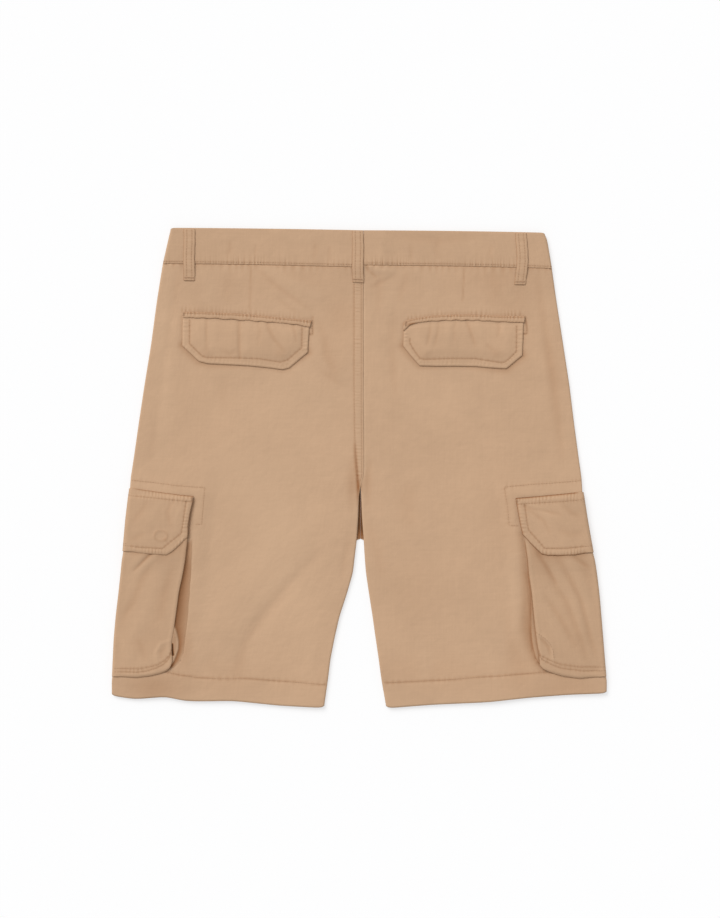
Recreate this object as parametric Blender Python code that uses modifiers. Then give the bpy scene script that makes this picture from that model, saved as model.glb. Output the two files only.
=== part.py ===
"""Cargo shorts laid flat on their front, with the back uppermost.

Every panel, band, loop, flap and pocket is its own wall of cloth.  Lengths are written in millimetres
and become metres where a vertex is placed.  +X runs from the wearer's left leg to the right leg, +Y from
the hems to the waist, and +Z away from the surface that the front rests on.  A side is -1 for the
wearer's left and +1 for the right; a face is +1 for the back of the garment and -1 for its front.
"""
import math
from collections import namedtuple

import bmesh
import bpy
from mathutils import Vector

# Driving dimensions
MILLIMETRE = 0.001
CLOTH = 1.1             # wall of a panel, a pocket or a flap
BAND = 1.5              # wall of the waistband
WELT = 1.3              # wall of the strips over the back pockets
GAP = 0.3               # between neighbouring pieces
STEP = CLOTH + GAP      # what one layer of cloth adds to a stack
ROUND_STEP = STEP + 0.3  # and what it adds round a fold
AIR = 2.0               # between the front panels and the back panels
WAIST_AIR = 3.0         # between the front and the back of the waistband
BODY_TOP = 2 * CLOTH + AIR
BAND_TOP = 2 * BAND + WAIST_AIR
SEAM_GAP = 0.4          # between the waistband's lower edge and the panels
FELL_HEIGHT = 0.5       # the felled centre back seam stands this proud
FELL_WIDTH = 9.0
FELL_END = 11.0
FELL_FOOT = 0.0         # and flattens out above the fork of the legs
FELL_FLAT = -15.0
CENTRE_FRONT = 1.35     # X of the centre front seam
FRONT_DIP = 12.0        # the waist is this much lower at centre front
HEM_SHORTER = 1.5       # the front hem hides behind the back one
POCKET_SPAN = 82.0      # the stack under a side pocket reaches this far in from the side
POCKET_SLOPE = 104.0    # and dies out here
LAP = 20.0              # the left front laps over the right one by this much
LAP_LIFT = BAND + GAP   # and lifts it this far
LAP_SLOPE = 22.5        # the right front comes down from the lap beyond this distance from the centre
LAP_END = 45.0
BUTTON_SLOPE = 14.0     # the waistband comes down from the button in this distance
BUTTON_RADIUS = 8.5
BUTTON_HEIGHT = 1.8
BUTTON_LIFT = BUTTON_HEIGHT + GAP
LOOP_WIDTH = 13.0
LOOP_PLACE = 85.0       # X of the front belt loops, either side of the centre
LOOP_BOW = 0.9
TUCK = 1.0              # wall of the pocket gussets

# The outline: the sides of the garment and the edges that meet at centre back or face the other leg.
Section = namedtuple("Section", "y side_left inner_left inner_right side_right")
SECTIONS = [
    Section(275.0, -215.7, 4.45, 4.75, 211.5),
    Section(235.0, -224.8, 4.45, 4.75, 220.0),
    Section(193.0, -231.6, 4.45, 4.75, 226.0),
    Section(142.0, -238.4, 4.45, 4.75, 233.8),
    Section(96.0, -245.9, 4.45, 4.75, 240.8),
    Section(50.0, -252.8, 4.45, 4.75, 246.4),
    Section(10.0, -258.3, 4.2, 4.7, 251.6),
    Section(-15.0, -262.0, 1.4, 2.9, 255.1),
    Section(-30.0, -264.2, -1.3, 2.4, 257.3),
    Section(-58.0, -267.6, -1.9, 3.3, 262.0),
    Section(-80.0, -269.6, -3.2, 5.4, 266.0),
    Section(-102.0, -271.6, -5.5, 7.1, 269.9),
    Section(-120.0, -273.4, -7.7, 8.7, 272.9),
    Section(-145.0, -276.2, -15.1, 12.4, 275.8),
    Section(-170.0, -279.2, -23.3, 16.4, 278.0),
    Section(-195.0, -281.6, -28.9, 20.1, 280.2),
    Section(-220.0, -282.6, -33.7, 23.7, 281.9),
    Section(-243.0, -283.4, -36.3, 26.5, 283.4),
    Section(-275.0, -283.4, -40.9, 32.2, 283.2),
]

# Hem lines, from the side to the inner leg.
Hem = namedtuple("Hem", "x y")
HEM_LEFT = [Hem(-283, -261.5), Hem(-258, -264.6), Hem(-222, -262.4), Hem(-199, -266.4),
            Hem(-146, -267.0), Hem(-92, -272.0), Hem(-41, -275.0)]
HEM_RIGHT = [Hem(31, -274.6), Hem(84, -271.4), Hem(150, -268.5), Hem(194, -263.8),
             Hem(240, -260.3), Hem(283, -258.6)]

# Edges of the waistband on the back: height at the side, at the centre, and the bow between.
Edge = namedtuple("Edge", "x_side y_side x_centre y_centre bow")
WAIST_TOP = {-1: Edge(-216.0, 275.0, 4.6, 272.9, 0.5), 1: Edge(211.0, 269.4, 4.6, 272.9, 0.6)}
WAIST_SEAM = {-1: Edge(-225.4, 235.6, 4.6, 232.5, 0.8), 1: Edge(219.3, 229.8, 4.6, 232.9, 0.8)}

# What the side pockets do to the layers, down the leg: how far the front panel is lifted and the back
# panel raised, how far the panels' sides are set in, and the same lift and inset for the pocket bag.
Level = namedtuple("Level", "y lift rise inset bag_lift bag_inset")
LEVELS = [
    Level(10.0, 0.0, 0.0, 0.0, 0.0, 0.0),
    Level(-15.0, STEP, 1.2, ROUND_STEP, STEP, ROUND_STEP),
    Level(-30.0, 2 * STEP, 2.4, 2 * ROUND_STEP, STEP, ROUND_STEP),
    Level(-102.0, 2 * STEP, 2.4, 2 * ROUND_STEP, STEP, ROUND_STEP),
    Level(-120.0, STEP, 1.2, ROUND_STEP, 0.0, 0.0),
    Level(-243.0, STEP, 1.2, ROUND_STEP, 0.0, 0.0),
    Level(-252.0, 0.6, 0.5, 0.0, 0.0, 0.0),
    Level(-262.0, 0.0, 0.0, 0.0, 0.0, 0.0),
]

# The back rises over the button and the lapped waistband ends under it.
Bump = namedtuple("Bump", "y height")
BUTTON_RISE = [Bump(275, 0.4), Bump(263, 0.9), Bump(243, 1.4), Bump(233, 1.8), Bump(222, 0.9), Bump(200, 0)]

# Broad soft folds of the back panels: a line, its height (a trough is negative) and its half width.
Fold = namedtuple("Fold", "x1 y1 x2 y2 height width")
FOLDS = [
    Fold(-42, -84, -96, -148, -1.1, 17),
    Fold(-100, -152, -136, -226, -0.9, 18),
    Fold(-84, -76, -134, -142, 0.9, 20),
    Fold(44, -96, 74, -170, -0.7, 18),
    Fold(90, -80, 120, -190, 0.8, 24),
    Fold(-60, 60, -150, 20, 0.5, 30),
]

# Side pockets: the bag's free edge down the leg, its lower edge across, and how far it stands off.
BagEdge = namedtuple("BagEdge", "y left right puff")
BAG_EDGE = [
    BagEdge(-38, -191.0, 181.0, 0.6),
    BagEdge(-58, -194.5, 184.5, 1.4),
    BagEdge(-80, -199.0, 190.6, 1.6),
    BagEdge(-102, -201.3, 194.0, 1.8),
    BagEdge(-120, -204.5, 195.5, 2.1),
    BagEdge(-145, -209.4, 199.2, 2.4),
    BagEdge(-170, -213.0, 201.7, 2.4),
    BagEdge(-195, -216.4, 204.4, 2.2),
    BagEdge(-215, -215.4, 207.8, 1.9),
    BagEdge(-243, -213.0, 209.0, 1.5),
]
BagFoot = namedtuple("BagFoot", "share left right")
BAG_FOOT = [BagFoot(0, -239, -239), BagFoot(0.38, -240.6, -241.7), BagFoot(0.62, -238.4, -239.4),
            BagFoot(0.75, -236.4, -236.2), BagFoot(0.85, -234, -231.8), BagFoot(0.96, -228.2, -226),
            BagFoot(1, -220.5, -222.5)]
BAG_CORNER = -195.0     # the rows of a bag bend round its corner from here down
PUFF_SHARE = 0.3        # the bag reaches its full standing height this far in from the fold

# Flaps of the side pockets: the free edge down the leg, and the upper and lower edges across.
FlapEdge = namedtuple("FlapEdge", "y left right")
FLAP_EDGE = [FlapEdge(-33, -190.1, 180.6), FlapEdge(-60, -194.7, 184.2), FlapEdge(-79, -199.3, 189.4),
             FlapEdge(-101, -204.3, 196.0)]
FlapSpan = namedtuple("FlapSpan", "share top_left foot_left top_right foot_right")
FLAP_SPAN = [
    FlapSpan(0.00, -23.0, -95.0, -27.3, -96.4),
    FlapSpan(0.25, -25.5, -97.4, -29.2, -99.6),
    FlapSpan(0.50, -28.0, -99.0, -31.0, -100.3),
    FlapSpan(0.70, -29.8, -99.7, -32.4, -100.0),
    FlapSpan(0.79, -30.6, -96.0, -33.0, -98.4),
    FlapSpan(0.90, -31.4, -87.6, -33.6, -87.5),
    FlapSpan(1.00, -32.0, -79.0, -34.2, -75.6),
]

# Gussets of the side pockets: where the strip is sewn to the panel, and where it tucks under the bag.
Gusset = namedtuple("Gusset", "sewn_x sewn_y tucked_x tucked_y")
GUSSET_LEFT = [
    Gusset(-191.6, -78.0, -203.5, -80.0), Gusset(-192.6, -92.0, -205.0, -94.0),
    Gusset(-193.0, -102.0, -206.0, -102.0), Gusset(-193.6, -120.0, -208.6, -120.0),
    Gusset(-195.4, -145.0, -213.4, -145.0),
    Gusset(-197.0, -174.5, -217.6, -173.0), Gusset(-199.3, -197.5, -220.6, -192.0),
    Gusset(-203.9, -211.3, -222.0, -203.0), Gusset(-211.0, -224.5, -225.0, -214.0),
    Gusset(-223.0, -232.5, -232.0, -222.0), Gusset(-240.0, -234.5, -243.0, -225.0),
    Gusset(-256.0, -235.5, -256.0, -226.0),
]
GUSSET_RIGHT = [
    Gusset(187.6, -76.0, 195.5, -79.0), Gusset(190.4, -92.0, 197.5, -94.0),
    Gusset(191.2, -102.0, 198.6, -102.0), Gusset(192.6, -120.0, 200.6, -120.0),
    Gusset(194.8, -145.0, 204.2, -145.0),
    Gusset(196.2, -174.5, 207.0, -173.0), Gusset(197.6, -197.5, 210.0, -192.0),
    Gusset(200.9, -212.5, 213.0, -203.0), Gusset(207.4, -223.5, 217.0, -212.0),
    Gusset(217.0, -229.5, 225.0, -219.0), Gusset(234.0, -234.5, 238.0, -224.0),
    Gusset(254.0, -236.0, 254.0, -226.0),
]

# Back pockets: columns across the strip (welt) and the flap under it.
Column = namedtuple("Column", "top_x top_y foot_x foot_y")
WELT_LEFT = [
    Column(-203.0, 179.6, -202.6, 173.0), Column(-170.0, 178.8, -170.0, 172.2),
    Column(-137.0, 177.4, -137.0, 170.3), Column(-114.0, 175.4, -114.0, 168.7),
    Column(-91.0, 172.8, -91.0, 166.9), Column(-72.0, 171.0, -72.0, 165.0),
    Column(-54.6, 169.4, -56.4, 161.8),
]
WELT_RIGHT = [
    Column(49.6, 166.4, 50.4, 157.0), Column(55.5, 170.2, 57.5, 164.4), Column(69.8, 172.9, 70.6, 167.9),
    Column(86.0, 175.2, 86.0, 169.2), Column(110.0, 176.4, 110.0, 170.0),
    Column(135.0, 176.2, 135.0, 169.8), Column(162.0, 174.8, 162.0, 168.2),
    Column(190.6, 175.0, 189.6, 167.3),
]
FLAP_LEFT = [
    Column(-203.2, 172.6, -203.4, 141.8), Column(-183.0, 172.1, -183.0, 122.8),
    Column(-174.0, 171.9, -174.0, 120.4), Column(-146.0, 170.4, -146.0, 119.4),
    Column(-126.0, 169.2, -126.0, 118.2), Column(-104.0, 167.5, -103.0, 115.9),
    Column(-90.0, 166.4, -88.0, 113.8), Column(-80.0, 165.4, -80.5, 115.6),
    Column(-57.2, 161.6, -59.0, 133.8),
]
FLAP_RIGHT = [
    Column(50.3, 156.2, 50.3, 140.6), Column(58.2, 164.0, 60.0, 129.0),
    Column(70.6, 167.4, 69.2, 118.2), Column(90.0, 168.9, 89.0, 117.6),
    Column(112.0, 169.5, 112.0, 117.4), Column(134.0, 169.3, 134.0, 117.2),
    Column(152.0, 168.4, 152.0, 115.8), Column(167.6, 167.4, 169.0, 114.9),
    Column(188.8, 166.8, 187.2, 130.4),
]
FLAP_ROWS = (0.0, 0.14, 0.42, 0.72, 0.9, 1.0)
FLAP_PUFF = 1.3

# Belt loops on the back: X of the middle line at the top, half way and at the foot, and the ends.
Loop = namedtuple("Loop", "name top_x middle_x foot_x top_y foot_y")
BACK_LOOPS = [
    Loop("belt_loop_back_left", -195.0, -195.2, -195.4, 274.6, 215.4),
    Loop("belt_loop_back_centre", -1.5, -1.6, -1.5, 272.6, 213.2),
    Loop("belt_loop_back_right", 185.4, 187.0, 184.6, 269.8, 210.8),
]
LOOP_ROWS = 9
FRONT_LOOP_DROP = 20.0  # a loop ends this far below the waistband seam

# Where the rows and columns of the walls run.
BACK_ROWS = ["waist", 222, 200, 170, 140, 110, 80, 50, 30, 10, -15, -30, -58, -80, -102, -120, -145, -170,
             -195, -220, -243, -252, "hem"]
FRONT_ROWS = ["waist", "loop end", "loop slope", 170, 110, 60, 45, 30, 10, -15, -30, -84, -88, -102, -120,
              -170, -243, -252, "hem"]
BAND_ROWS = (0.0, 0.25, 0.75, 1.0)
BAND_COLUMNS = (22, 45, 75, 105, 135, 165, 195)
BAND_LEVEL = 255.0      # half way up the waistband
WAIST_LEVEL = 233.0     # its seam
WAIST_SLOPE = 190.0     # the extra air under the waist is gone here
NAMED_LEVELS = {"waist": WAIST_LEVEL, "loop end": 205.0, "loop slope": 195.0, "hem": -270.0}
LOOP_END = 22.0         # the front is lifted to this far below the waistband seam by its loops
LOOP_SLOPE = 35.0
FLY_FOOT = 60.0         # the fly's lap narrows from here
FLY_SHUT = 45.0         # to here
FLY_FLAT = 30.0
FORK = -84.0            # the front panels part here
FORK_END = -88.0
BACK_FORK = -20.0       # the back panels part here
BACK_LEG = -45.0
BUTTON_SIDE = CENTRE_FRONT - 2.4
LAP_SIDE = CENTRE_FRONT + LAP + 0.2
FRONT_LOOP_SPREAD = (50.0, 120.0)   # below the loops, columns of the front fan out over this span
FRONT_LOOP_FAN = 170.0  # and have done so by here
FRONT_LOOP_BREAKS = (LOOP_PLACE - 20, LOOP_PLACE - 8, LOOP_PLACE + 8, LOOP_PLACE + 20)

# How a panel turns round its edge to meet the other face, in shares of the radius: distance in from the
# edge where it turns and where it stays flat, and the drop.  The row with no drop ends at the seam.
Turn = namedtuple("Turn", "turned flat drop")
TURNS = [Turn(0.0, 0.0, None), Turn(0.0, 0.15, 0.6), Turn(0.25, 0.45, 0.2), Turn(1.0, 1.0, 0.0)]
INNER_STEPS = (FELL_WIDTH, FELL_END, 22.0, 45.0)
OUTER_STEPS = (POCKET_SLOPE, POCKET_SPAN, 60.0, 40.0, 20.0)

CLOTH_COLOUR = (0.533, 0.347, 0.219)
BUTTON_COLOUR = (0.36, 0.22, 0.13)


def between(start, end, share):
    """Value a share of the way from start to end."""
    return start + (end - start) * share


def down_table(rows, key, name, value):
    """Read the column called name where the column called key has this value."""
    ordered = sorted(rows, key=lambda row: getattr(row, key))
    keys = [getattr(row, key) for row in ordered]
    if value <= keys[0]:
        return getattr(ordered[0], name)
    for lower, upper in zip(ordered, ordered[1:]):
        high = getattr(upper, key)
        if value <= high:
            low = getattr(lower, key)
            share = (value - low) / (high - low)
            return between(getattr(lower, name), getattr(upper, name), share)
    return getattr(ordered[-1], name)


def ramp(value, full, nothing):
    """1 at and beyond full, 0 at and beyond nothing, straight between them."""
    return min(1.0, max(0.0, (value - nothing) / (full - nothing)))


def side_name(side):
    """The wearer's side in words."""
    return "left" if side < 0 else "right"


# Edges of the garment

def side_x(side, y):
    """Outermost X of the garment on one side."""
    return down_table(SECTIONS, "y", "side_" + side_name(side), y)


def back_inner_x(side, y):
    """Edge of a back panel at the centre seam or along the inner leg."""
    return down_table(SECTIONS, "y", "inner_" + side_name(side), y)


def front_inner_x(side, y):
    """Edge of a front panel: at the lap, then the centre front, then along the inner leg."""
    if side < 0:
        centre = between(CENTRE_FRONT - GAP / 2, CENTRE_FRONT + LAP, ramp(y, FLY_FOOT, FLY_SHUT))
    else:
        centre = CENTRE_FRONT + GAP
    return between(centre, back_inner_x(side, y), ramp(y, FORK_END, FORK))


def waist_edge_y(edges, side, x):
    """Height of a waistband edge on the back."""
    edge = edges[side]
    share = (x - edge.x_side) / (edge.x_centre - edge.x_side)
    return between(edge.y_side, edge.y_centre, share) + 4 * edge.bow * share * (1 - share)


def front_drop(side, x):
    """How far the front of the waist lies below the back."""
    reach = abs(x - CENTRE_FRONT) / abs(side_x(side, BAND_LEVEL) - CENTRE_FRONT)
    return FRONT_DIP * max(0.0, 1 - reach * reach)


def front_seam_y(side, x):
    """Waistband seam on the front."""
    return waist_edge_y(WAIST_SEAM, side, x) - front_drop(side, x)


def hem_y(side, x):
    """Hem line of one leg."""
    return down_table(HEM_LEFT if side < 0 else HEM_RIGHT, "x", "y", x)


# Heights of the layers

def pocket_share(side, x, y):
    """1 over the stack of a side pocket, 0 clear of it."""
    return ramp(abs(side_x(side, y) - x), POCKET_SPAN, POCKET_SLOPE)


def loop_share(x):
    """1 where the front lies on a belt loop."""
    off_centre = abs(abs(x) - LOOP_PLACE)
    return ramp(off_centre, LOOP_WIDTH / 2 + 1.5, LOOP_WIDTH / 2 + 13.5)


def front_panel_under(side, x, y):
    """Underside of a front panel above the surface it rests on."""
    lift = down_table(LEVELS, "y", "lift", y) * pocket_share(side, x, y)
    below_seam = front_seam_y(side, x) - y
    lift += STEP * loop_share(x) * ramp(below_seam, LOOP_END, LOOP_SLOPE)
    if side > 0:
        off_centre = x - CENTRE_FRONT
        lift += LAP_LIFT * ramp(off_centre, LAP_SLOPE, LAP_END) * ramp(y, FLY_SHUT, FLY_FLAT)
    return lift


def button_rise(x, y):
    """Height that the button adds to the back above it."""
    return down_table(BUTTON_RISE, "y", "height", y) * ramp(abs(x - CENTRE_FRONT), LAP_SLOPE, LAP_END)


def fold_height(x, y):
    """Sum of the broad soft folds at one place."""
    total = 0.0
    for fold in FOLDS:
        along = Vector((fold.x2 - fold.x1, fold.y2 - fold.y1))
        offset = Vector((x - fold.x1, y - fold.y1))
        share = min(1.0, max(0.0, offset.dot(along) / along.length_squared))
        distance = (offset - along * share).length
        total += fold.height * math.exp(-(distance / fold.width) ** 2)
    return total


def back_panel_top(side, x, y):
    """Outer surface of a back panel."""
    top = BODY_TOP + (WAIST_AIR - AIR) * ramp(y, WAIST_LEVEL, WAIST_SLOPE)
    top += down_table(LEVELS, "y", "rise", y) * pocket_share(side, x, y)
    if side < 0:
        from_seam = back_inner_x(side, y) - x
        top += FELL_HEIGHT * ramp(from_seam, FELL_WIDTH, FELL_END) * ramp(y, FELL_FOOT, FELL_FLAT)
    return top + button_rise(x, y) + fold_height(x, y) * (1 - pocket_share(side, x, y))


def band_under(side, x, share):
    """Underside of the front of the waistband, a share of the way up it."""
    if side < 0:
        over_button = ramp(x, BUTTON_SIDE, BUTTON_SIDE - BUTTON_SLOPE)
        lap = 0.0
    else:
        over_button = ramp(x, LAP_SIDE, LAP_SIDE + BUTTON_SLOPE)
        lap = LAP_LIFT * over_button
    up_band = ramp(abs(share - 0.5), 0.25, 0.5)
    return BUTTON_LIFT * over_button * up_band + lap + STEP * loop_share(x)


def band_top(x, y):
    """Outer surface of the back of the waistband."""
    return BAND_TOP + button_rise(x, y)


def back_surface(side, x, y):
    """Outer surface of the back at any place, waistband or panel."""
    if y > waist_edge_y(WAIST_SEAM, side, x) - SEAM_GAP:
        return band_top(x, y)
    return back_panel_top(side, x, y)


def bag_top(side, x, y, share):
    """Outer surface of a pocket bag, a share of the way from the fold to its free edge."""
    puff = down_table(BAG_EDGE, "y", "puff", y) * min(1.0, share / PUFF_SHARE)
    return back_panel_top(side, x, y) + STEP + puff


# Objects

def cloth_material(name, colour, roughness):
    """A Principled material of its own for one piece."""
    material = bpy.data.materials.new(name)
    material.use_nodes = True
    shader = material.node_tree.nodes["Principled BSDF"]
    shader.inputs["Base Color"].default_value = (*colour, 1)
    shader.inputs["Roughness"].default_value = roughness
    shader.inputs["Metallic"].default_value = 0.0
    return material


def add_object(name, bm, collection, colour=CLOTH_COLOUR, roughness=0.9):
    """Turn a bmesh into a named object with its own material."""
    mesh = bpy.data.meshes.new(name)
    bm.to_mesh(mesh)
    bm.free()
    mesh.shade_smooth()
    mesh.materials.append(cloth_material(name, colour, roughness))
    item = bpy.data.objects.new(name, mesh)
    collection.objects.link(item)
    return item


def cloth_wall(name, collection, columns, rows, place, inside, thickness=CLOTH):
    """A wall of cloth: a grid laid on its outer surface and thickened inwards.

    place(column, row) gives a vertex in millimetres, and inside is a point that the surface faces away
    from, which tells the two sides of the grid apart.
    """
    bm = bmesh.new()
    bmesh.ops.create_grid(bm, x_segments=len(columns) - 1, y_segments=len(rows) - 1, size=0.5)
    for vertex in bm.verts:
        column = columns[round((vertex.co.x + 0.5) * (len(columns) - 1))]
        row = rows[round((vertex.co.y + 0.5) * (len(rows) - 1))]
        vertex.co = Vector(place(column, row)) * MILLIMETRE
    bm.normal_update()
    centre = Vector(inside) * MILLIMETRE
    facing = 0.0
    for face in bm.faces:
        facing += (face.calc_center_median() - centre).dot(face.normal) * face.calc_area()
    if facing < 0:
        bmesh.ops.reverse_faces(bm, faces=bm.faces[:])
    item = add_object(name, bm, collection)
    wall = item.modifiers.new("wall", "SOLIDIFY")
    wall.thickness = thickness * MILLIMETRE
    wall.offset = -1
    wall.use_even_offset = True
    wall.use_quality_normals = True
    return item


# Panels

def edge_radius(side, x, y):
    """Radius that the front and the back panel share where they meet at an edge."""
    return (back_panel_top(side, x, y) - front_panel_under(side, x, y)) / 2


def panel_columns(inner_steps, middle, outer_steps):
    """Columns of a panel from its inner edge to its side."""
    columns = [("inner turn", row) for row in TURNS]
    columns += [("inner", step) for step in inner_steps]
    columns += middle
    columns += [("outer", step) for step in outer_steps]
    return columns + [("outer turn", row) for row in reversed(TURNS)]


def panel_row_y(side, face, row, x):
    """Y of a row of a panel at one X."""
    if row == "hem":
        return hem_y(side, x) + (0 if face > 0 else HEM_SHORTER)
    if isinstance(row, str):
        seam = waist_edge_y(WAIST_SEAM, side, x) if face > 0 else front_seam_y(side, x)
        return seam - {"waist": SEAM_GAP / 2, "loop end": LOOP_END, "loop slope": LOOP_SLOPE}[row]
    return row


def turn_share(face, kind, y):
    """How far an edge of a panel turns: fully along the sides and legs, not at all at the centre."""
    if kind == "outer turn":
        return 1.0
    return ramp(y, BACK_LEG, BACK_FORK) if face > 0 else ramp(y, FORK_END, FORK)


def panel_point(side, face, column, row):
    """Vertex of a back panel (face 1) or a front panel (face -1)."""
    kind, value = column
    level = NAMED_LEVELS.get(row, row)
    inner = back_inner_x(side, level) if face > 0 else front_inner_x(side, level)
    outer = side_x(side, level)
    drop = 0.0
    if kind.endswith("turn"):
        inset = down_table(LEVELS, "y", "inset", level)
        edge, inward = (inner, side) if kind == "inner turn" else (outer - side * inset, -side)
        radius = edge_radius(side, edge + inward * 2, level)
        share = turn_share(face, kind, level)
        x = edge + inward * radius * between(value.flat, value.turned, share)
        start_x = edge + inward * radius
        meeting = GAP / 2 if face > 0 or kind == "outer turn" else GAP
        drop = share * (radius - meeting if value.drop is None else radius * value.drop)
    else:
        first = inner + side * INNER_STEPS[-1]
        last = outer - side * POCKET_SLOPE
        if kind == "inner":
            x = inner + side * value
        elif kind == "outer":
            x = outer - side * value
        elif kind == "middle":
            x = between(first, last, value)
        else:
            spread = (value - FRONT_LOOP_SPREAD[0]) / (FRONT_LOOP_SPREAD[1] - FRONT_LOOP_SPREAD[0])
            lower_x = between(first, last, spread)
            x = between(lower_x, side * value, ramp(level, NAMED_LEVELS["loop slope"], FRONT_LOOP_FAN))
        start_x = x
    y = panel_row_y(side, face, row, x)
    if face > 0:
        return x, y, back_panel_top(side, start_x, y) - drop
    return x, y, front_panel_under(side, start_x, y) + drop


def make_panels(collection):
    """Two back panels, and two front panels that the garment rests on."""
    middle = [("middle", share) for share in (0.25, 0.5, 0.75)]
    back_columns = panel_columns(INNER_STEPS, middle, OUTER_STEPS)
    loops = [("loop", place) for place in FRONT_LOOP_BREAKS]
    front_columns = panel_columns(INNER_STEPS[2:], loops, OUTER_STEPS[:2])
    for side in (-1, 1):
        cloth_wall("back_panel_" + side_name(side), collection, back_columns, BACK_ROWS,
                   lambda column, row, side=side: panel_point(side, 1, column, row), (side * 140, 0, -2000))
        cloth_wall("front_panel_" + side_name(side), collection, front_columns, FRONT_ROWS,
                   lambda column, row, side=side: panel_point(side, -1, column, row), (side * 140, 0, 2000))


# Pieces that fold round the side

def wrap_point(side, station, y, inset, free_x, under, top):
    """Vertex of a piece that runs from the front, round the side fold, to the back.

    station is ("under", share), ("turn", angle) or ("top", share), with a share of 0 at the fold.
    """
    part, value = station
    fold = side_x(side, y) - side * inset
    low = under(fold - side * 3, 0.0)
    high = top(fold - side * 3, 0.0)
    radius = (high - low) / 2
    if part == "turn":
        angle = math.radians(value)
        return fold - side * radius * (1 - math.cos(angle)), y, (low + high) / 2 + radius * math.sin(angle)
    x = between(fold - side * radius, free_x, value)
    return x, y, under(x, value) if part == "under" else top(x, value)


def wrap_stations(under_shares, turn_angles, top_shares):
    """Stations of a wrapped piece from its free edge on the front to its free edge on the back."""
    stations = [("under", share) for share in sorted(under_shares, reverse=True)]
    stations += [("turn", angle) for angle in turn_angles]
    return stations + [("top", share) for share in sorted(top_shares)]


def make_waistband(side, collection):
    """One half of the waistband, from centre back round the side to centre front."""
    front_end = CENTRE_FRONT + LAP if side < 0 else CENTRE_FRONT + GAP
    start = BUTTON_SIDE if side < 0 else LAP_SIDE
    front_x = [front_end, start, start + side * BUTTON_SLOPE]
    front_x += [side * place for place in (*FRONT_LOOP_BREAKS, 155)]
    back_x = [back_inner_x(side, BAND_LEVEL)] + [side * place for place in BAND_COLUMNS]
    stations = [("front", x) for x in front_x] + [("turn", angle) for angle in range(-90, 91, 30)]
    stations += [("back", x) for x in reversed(back_x)]

    def place(station, share):
        part, value = station
        if part == "turn":
            level = between(WAIST_SEAM[side].y_side, WAIST_TOP[side].y_side, share)
            radius = BAND_TOP / 2
            angle = math.radians(value)
            x = side_x(side, level) - side * radius * (1 - math.cos(angle))
            drop = front_drop(side, x) * ramp(value, -90, 0)
            height = radius + radius * math.sin(angle)
        else:
            x = value
            drop = front_drop(side, x) if part == "front" else 0.0
        low_edge = waist_edge_y(WAIST_SEAM, side, x) + SEAM_GAP / 2
        y = between(low_edge, waist_edge_y(WAIST_TOP, side, x), share) - drop
        if part == "front":
            height = band_under(side, x, share)
        elif part == "back":
            height = band_top(x, y)
        return x, y, height

    cloth_wall("waistband_" + side_name(side), collection, stations, BAND_ROWS, place,
               (side * 150, 250, BAND_TOP / 2), BAND)


def bag_rows():
    """Rows of a pocket bag: level down to the corner, then shares of what is left."""
    rows = [row.y for row in BAG_EDGE if row.y >= BAG_CORNER]
    return rows + [("foot", share) for share in (0.4, 0.72, 0.9, 1.0)]


def make_cargo_bag(side, collection):
    """A side pocket's bag, which wraps round the side fold and stands off the back panel."""
    name = side_name(side)
    shares = (0, 0.15, PUFF_SHARE, 0.46, 0.62, 0.75, 0.86, 0.96, 1)
    stations = wrap_stations((0, 0.38, 0.75, 0.96, 1), (-60, -30, 0, 30, 60), shares)

    def place(station, row):
        share = 0.0 if station[0] == "turn" else station[1]
        y = row
        if isinstance(row, tuple):
            y = between(BAG_CORNER, down_table(BAG_FOOT, "share", name, share), row[1])
        return wrap_point(side, station, y, down_table(LEVELS, "y", "bag_inset", y),
                          down_table(BAG_EDGE, "y", name, y),
                          lambda x, part: down_table(LEVELS, "y", "bag_lift", y),
                          lambda x, part: bag_top(side, x, y, part))

    cloth_wall("cargo_pocket_bag_" + name, collection, stations, bag_rows(), place,
               (side * 240, -140, BODY_TOP / 2))


def make_cargo_flap(side, collection):
    """A side pocket's flap, sewn to the panel along its top and lying over the bag."""
    name = side_name(side)
    stations = wrap_stations((0, 0.35, 0.7, 0.79, 0.9, 1), (-60, -30, 0, 30, 60),
                             (0, 0.12, PUFF_SHARE, 0.5, 0.7, 0.79, 0.9, 1))
    bag_start = BAG_EDGE[0].y

    def place(station, row):
        share = 0.0 if station[0] == "turn" else station[1]
        head = down_table(FLAP_SPAN, "share", "top_" + name, share)
        foot = down_table(FLAP_SPAN, "share", "foot_" + name, share)
        y = between(head, foot, row)

        def top(x, part):
            on_panel = back_panel_top(side, x, y)
            on_bag = bag_top(side, x, y, part)
            return between(on_panel, on_bag, ramp(y, bag_start + 2, bag_start + 10)) + STEP

        return wrap_point(side, station, y, 0.0, down_table(FLAP_EDGE, "y", name, y),
                          lambda x, part: 0.0, top)

    cloth_wall("cargo_pocket_flap_" + name, collection, stations, (0, 0.06, 0.14, 0.24, 0.5, 0.78, 1),
               place, (side * 240, -60, BODY_TOP / 2))


def make_gusset(side, collection):
    """The strip that joins a side pocket's bag to the panel: sewn down, then rising under the bag."""
    path = GUSSET_LEFT if side < 0 else GUSSET_RIGHT

    def place(across, station):
        x = between(station.sewn_x, station.tucked_x, across)
        y = between(station.sewn_y, station.tucked_y, across)
        edge_height = down_table(BAG_EDGE, "y", "puff", station.tucked_y)
        lift = between(GAP + TUCK, edge_height, ramp(across, 0.45, 0.12))
        return x, y, back_panel_top(side, x, y) + lift

    cloth_wall("cargo_pocket_gusset_" + side_name(side), collection, (0, 0.12, 0.45, 1), path, place,
               (side * 200, -150, -2000), TUCK)


# Pieces that lie on the back

def column_point(columns, position, share):
    """Point down a column of a table, with the columns counted from 0."""
    column = columns[position]
    return between(column.top_x, column.foot_x, share), between(column.top_y, column.foot_y, share)


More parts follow.
